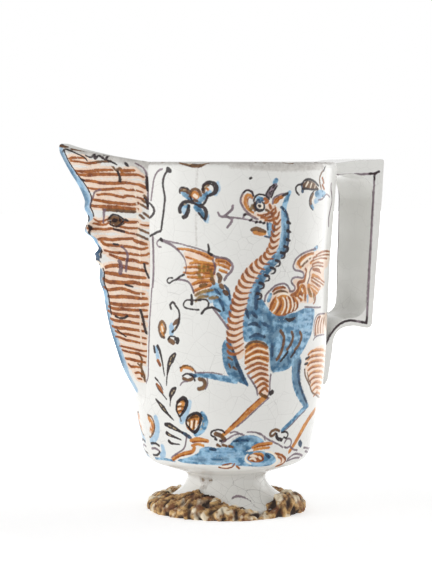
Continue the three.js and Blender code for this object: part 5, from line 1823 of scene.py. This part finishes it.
# %% The pigments
PIGMENT_LOOKS = {
    # worn is grey, for thin glaze, the hairline crack and stains, and as painted shade along the spout's
    # lip.
    "worn": (linear(176, 170, 164), linear(208, 204, 198), 0.75, 1.2),
    # peach is darkened a little, partly as painted shade for the spout's flank, which lies in some shadow.
    "peach": (linear(236, 199, 171), linear(245, 222, 201), 0.85, 0.9),
    "blue": (linear(54, 114, 151), linear(150, 194, 222), 0.95, 0.5),
    "wash": (linear(128, 172, 206), linear(174, 204, 224), 0.85, 0.7),
    "shade": (linear(20, 54, 80), linear(38, 82, 112), 0.55, 1.8),
    "navy": (linear(14, 32, 54), linear(48, 86, 120), 0.95, 0.5),
    "ochre": (linear(178, 98, 14), linear(214, 144, 54), 0.95, 0.5),
    "olive": (linear(92, 66, 4), linear(150, 112, 24), 0.9, 0.8),
    "umber": (linear(70, 38, 8), linear(124, 80, 28), 0.95, 0.5),
    "rust": (linear(118, 55, 10), linear(176, 102, 38), 0.97, 0.42),
    "cream": (linear(250, 232, 208), linear(250, 240, 224), 0.85, 0.45),
    "mauve": (linear(70, 45, 60), linear(128, 104, 118), 0.87, 0.4),
    "ink": (linear(16, 7, 10), linear(48, 30, 34), 0.97, 0.4),
    "fleck": (linear(150, 126, 90), linear(200, 182, 150), 0.85, 0.4),
}
print(f"pigments: {len(PIGMENT_LOOKS)}")

# %% [markdown]
# The material reads each pigment's depth from the mesh and covers the white from the palest to the
# darkest. Noise frays the edges, so that they are brushed and not cut, and chooses between the deep and
# the thin colour, because a brush leaves more in one place than in another. Pale pinholes are scattered
# over it all, and with them painted glints: small white dots that stand in for sparkles of light on the
# glaze. Everything depends on the object's own coordinates or its vertices, so it stays in place from
# every side.


# %% The glaze material
FRAY = 1.76
CRAZE_SCALE = 85.0
CRAZE_WIDTH = 0.00014
FINE_CRAZE_SCALE = 160.0
FINE_CRAZE_WIDTH = 0.0001
PINHOLE_AND_GLINT_SCALE = 520.0
PINHOLE_AND_GLINT_SIZE = 0.17
WHITE_GLAZE = linear(238, 238, 234)
GREY_GLAZE = linear(226, 225, 221)
CRAZING_GREY = linear(150, 146, 142)
PINHOLE_AND_GLINT_WHITE = linear(236, 238, 240)


def glaze(name, pigments, crackle=1.0):
    material, start = new_material(name)
    place = start.node("ShaderNodeTexCoord", output="Object")

    def crazing(scale, width):
        cells = {"Vector": place, "Scale": scale}
        edge = start.node("ShaderNodeTexVoronoi", {"feature": "DISTANCE_TO_EDGE"}, cells)
        return (1 - edge * (1 / (scale * width))).clamped()

    colour = place.cloud(28.0).between(WHITE_GLAZE, GREY_GLAZE)
    fine_cracks = crazing(FINE_CRAZE_SCALE, FINE_CRAZE_WIDTH)
    cracks = crazing(CRAZE_SCALE, CRAZE_WIDTH) * 0.5 + fine_cracks * 0.3
    crazed_places = (place.cloud(22.0) * 2.4 - 0.8).clamped()
    colour = colour.mixed((cracks * crazed_places * crackle).clamped(), CRAZING_GREY)
    fray = (place.cloud(900.0) - 0.5) * FRAY
    load = (place.cloud(330.0, 4.0) * 3 - 1).clamped()
    mottle = (place.cloud(280.0, 6.0) * 6 - 2.5).clamped()
    for pigment in pigments:
        deep, thin, strength, softness = PIGMENT_LOOKS[pigment]
        cover = ((start.attribute(pigment) - DEPTH) / softness + fray + 0.5).clamped()
        tone = mottle if pigment == "blue" else load
        colour = colour.mixed(cover * strength, tone.between(deep, thin))
    # Pinholes and painted glints: pale dots for pinholes and for sparkles of light on the glaze.
    centre = start.node("ShaderNodeTexVoronoi", {}, {"Vector": place, "Scale": PINHOLE_AND_GLINT_SCALE})
    pinholes_and_glints = ((PINHOLE_AND_GLINT_SIZE - centre) * 12).clamped() * (place.cloud(60.0) * 5 - 2.2).clamped()
    colour = colour.mixed(pinholes_and_glints * 0.55, PINHOLE_AND_GLINT_WHITE)
    dimples = start.node("ShaderNodeBump", {}, {
        "Height": place.cloud(120.0), "Strength": 0.05, "Distance": 0.001,
    })
    shader = start.node("ShaderNodeBsdfPrincipled", {}, {
        "Base Color": colour, "Roughness": place.cloud(60.0) * 0.08 + 0.1, "IOR": 1.45,
        "Specular IOR Level": 0.25, "Normal": dimples,
    })
    start.node("ShaderNodeOutputMaterial", {}, {"Surface": shader})
    return material


FOOT_CRACKLE = 2.2
cup_piece.data.materials.append(glaze("painted_glaze", PIGMENTS))
beak_piece.data.materials.append(glaze("striped_glaze", PIGMENTS))
strap_piece.data.materials.append(glaze("lined_glaze", ("mauve", "ink")))
foot_piece.data.materials.append(glaze("plain_glaze", FOOT_PIGMENTS, FOOT_CRACKLE))
print("glazed: cup, spout, handle and foot")

# %% [markdown]
# ## The bare clay
# The unglazed clay is gold and brown. It is cream on some strands, at random and as painted highlight on
# the strands' tops, and nearly black on others, where it is stained and, in the grooves, as painted
# shade. The tone on the mesh chooses among them, the pits and the gaps between strands are darkened as
# painted shade, and fine noise roughens it all, in the colour and in a bump, because the grain is finer
# than the mesh. Where a tone or a noise is multiplied and shifted, the factor says how sharply a colour
# begins, and the shift says where.


# %% The clay material
CLAY_DETAIL = 5.0
BROWN_CLAY = linear(122, 78, 38)
GOLD_CLAY = linear(214, 174, 116)
# Cream, at random and as painted highlight on the strands' tops.
CREAM_CLAY_AND_HIGHLIGHT = linear(242, 228, 200)
# Nearly black, for stains and for painted shade in the grooves.
STAINED_AND_SHADED_CLAY = linear(62, 40, 30)
RUSTY_CLAY = linear(108, 58, 30)
# Painted shade in the pits and between strands.
SHADED_CREVICE_CLAY = linear(48, 30, 18)


def bare_clay():
    material, start = new_material("bare_clay")
    place = start.node("ShaderNodeTexCoord", output="Object")
    crack = start.attribute("crack")
    tone = start.attribute("tone")

    def cloud(scale):
        return place.cloud(scale, CLAY_DETAIL)

    colour = (cloud(330.0) * 5 - 2).clamped().between(BROWN_CLAY, GOLD_CLAY)
    # Cream where the tone is high, partly as painted highlight on strand tops.
    colour = colour.mixed((tone * 3.4 - 1 + cloud(520.0)).clamped(), CREAM_CLAY_AND_HIGHLIGHT)
    # Nearly black where the tone is low: stains, and painted shade in the grooves.
    colour = colour.mixed((tone * -3.6 - 0.75 + cloud(320.0)).clamped() * 0.9, STAINED_AND_SHADED_CLAY)
    colour = colour.mixed((cloud(130.0) * 8 - 4.2).clamped() * 0.8, RUSTY_CLAY)
    # Painted shade: the pits and the gaps between strands are darkened.
    colour = colour.mixed((crack * 1.3).clamped(), SHADED_CREVICE_CLAY)
    grain = start.node("ShaderNodeBump", {}, {"Height": cloud(600.0), "Strength": 0.7, "Distance": 0.0014})
    shader = start.node("ShaderNodeBsdfPrincipled", {}, {
        "Base Color": colour, "Roughness": 0.7, "Normal": grain,
    })
    start.node("ShaderNodeOutputMaterial", {}, {"Surface": shader})
    return material


coil_piece.data.materials.append(bare_clay())
print("bare clay: on the ring of the foot")

# %% [markdown]
# ## Stage, light and camera
# The jug stands on a pale floor in a white studio. Two broad soft lamps light it, one from the left and one
# from the right and a little behind, so the middle of the front is a little dimmer. The floor itself
# glows, which brightens the foot from below, and away from the jug it fades to the white of the studio as
# the camera and reflections see it, so that only the shadow is left of it.

# %% The floor
FLOOR_SIZE = 6
FLOOR_GLOW = 0.5
FLOOR_GREY = (0.72, 0.72, 0.72, 1)
FADE_START = 0.14
FADE_WIDTH = 0.3
floor_bm = bmesh.new()
bmesh.ops.create_grid(floor_bm, x_segments=1, y_segments=1, size=FLOOR_SIZE)
floor = as_object(floor_bm, "floor")


def seen_directly(start):
    camera_ray, glossy_ray, clear_ray = (
        start.node("ShaderNodeLightPath", output=f"Is {kind} Ray")
        for kind in ("Camera", "Glossy", "Transmission")
    )
    return (camera_ray + glossy_ray + clear_ray).clamped()


floor_material, start = new_material("pale_floor")
matt = start.node("ShaderNodeBsdfDiffuse", {}, {"Color": FLOOR_GREY})
glow = start.node("ShaderNodeEmission", {}, {"Strength": FLOOR_GLOW})
both = start.node("ShaderNodeAddShader", {}, {0: matt, 1: glow})
white = start.node("ShaderNodeEmission", {}, {"Strength": seen_directly(start)})
plain = start.node("ShaderNodeAddShader", {}, {0: both, 1: white})
place = start.node("ShaderNodeTexCoord", output="Object")
away = start.node("ShaderNodeVectorMath", {"operation": "LENGTH"}, {0: place}, output="Value")
fade = ((away - FADE_START) / FADE_WIDTH).clamped()
faded = start.node("ShaderNodeMixShader", {}, {0: fade, 1: both, 2: plain})
start.node("ShaderNodeOutputMaterial", {}, {"Surface": faded})
floor.data.materials.append(floor_material)
print(f"floor: fades to white from {FADE_START} m to {FADE_START + FADE_WIDTH} m")

# %% The studio
STUDIO_LEVEL = 0.55
world = bpy.data.worlds.new("studio")
bpy.context.scene.world = world
world.use_nodes = True
world.node_tree.nodes.clear()
start = Socket(world.node_tree)
level = seen_directly(start) * (1 - STUDIO_LEVEL) + STUDIO_LEVEL
sky = start.node("ShaderNodeBackground", {}, {"Color": (1, 1, 1, 1), "Strength": level})
start.node("ShaderNodeOutputWorld", {}, {"Surface": sky})
print(f"studio: level {STUDIO_LEVEL}")

# %% The lamps
LAMP_DISTANCE = 1.3
LAMP_RISE = 0.2
JUG_MIDDLE = 0.11
centre = Vector((axis_x, 0, JUG_MIDDLE))


def soft_lamp(name, azimuth, size, watts):
    turn = FRONT + math.radians(azimuth)
    data = bpy.data.lights.new(name, "AREA")
    data.shape = "RECTANGLE"
    data.size = size[0]
    data.size_y = size[1]
    data.energy = watts
    lamp = bpy.data.objects.new(name, data)
    lamp.location = centre + Vector((math.sin(turn) * LAMP_DISTANCE, -math.cos(turn) * LAMP_DISTANCE,
                                     LAMP_RISE))
    lamp.rotation_euler = (centre - lamp.location).to_track_quat("-Z", "Y").to_euler()
    bpy.context.collection.objects.link(lamp)
    print(f"{name}: {watts} W at {azimuth} degrees from the front")


soft_lamp("left_softbox", -74, (1.1, 1.0), 8)
soft_lamp("right_softbox", 112, (1.0, 1.0), 6.6)

# %% [markdown]
# The camera stands level with the rim and far away, with a long lens, as in a product picture. It looks
# at the jug from about 25 degrees off its side, and its focal length is given in pixels of a frame that
# is 585 pixels high.

# %% The camera
FRAME_HEIGHT = 585
FOCAL_PIXELS = 1974
CAMERA_DISTANCE = 1.145
CAMERA_HEIGHT = 0.2024
CAMERA_ASIDE = -0.0062
EYE_ROW = 161
SENSOR_WIDTH = 36
camera_data = bpy.data.cameras.new("camera")
camera_data.sensor_width = SENSOR_WIDTH
camera_data.lens = FOCAL_PIXELS / FRAME_HEIGHT * SENSOR_WIDTH
camera = bpy.data.objects.new("camera", camera_data)
towards = Vector((math.sin(FRONT), -math.cos(FRONT), 0))
right = Vector((math.cos(FRONT), math.sin(FRONT), 0))
camera.location = Vector((axis_x, 0, CAMERA_HEIGHT)) + towards * CAMERA_DISTANCE + right * CAMERA_ASIDE
tilt = math.atan((FRAME_HEIGHT / 2 - EYE_ROW) / FOCAL_PIXELS)
camera.rotation_euler = (math.pi / 2 - tilt, 0, FRONT)
bpy.context.collection.objects.link(camera)
bpy.context.scene.camera = camera
bpy.context.scene.view_settings.view_transform = "Standard"
print(f"camera: {camera_data.lens:.1f} mm lens at {CAMERA_DISTANCE} m")
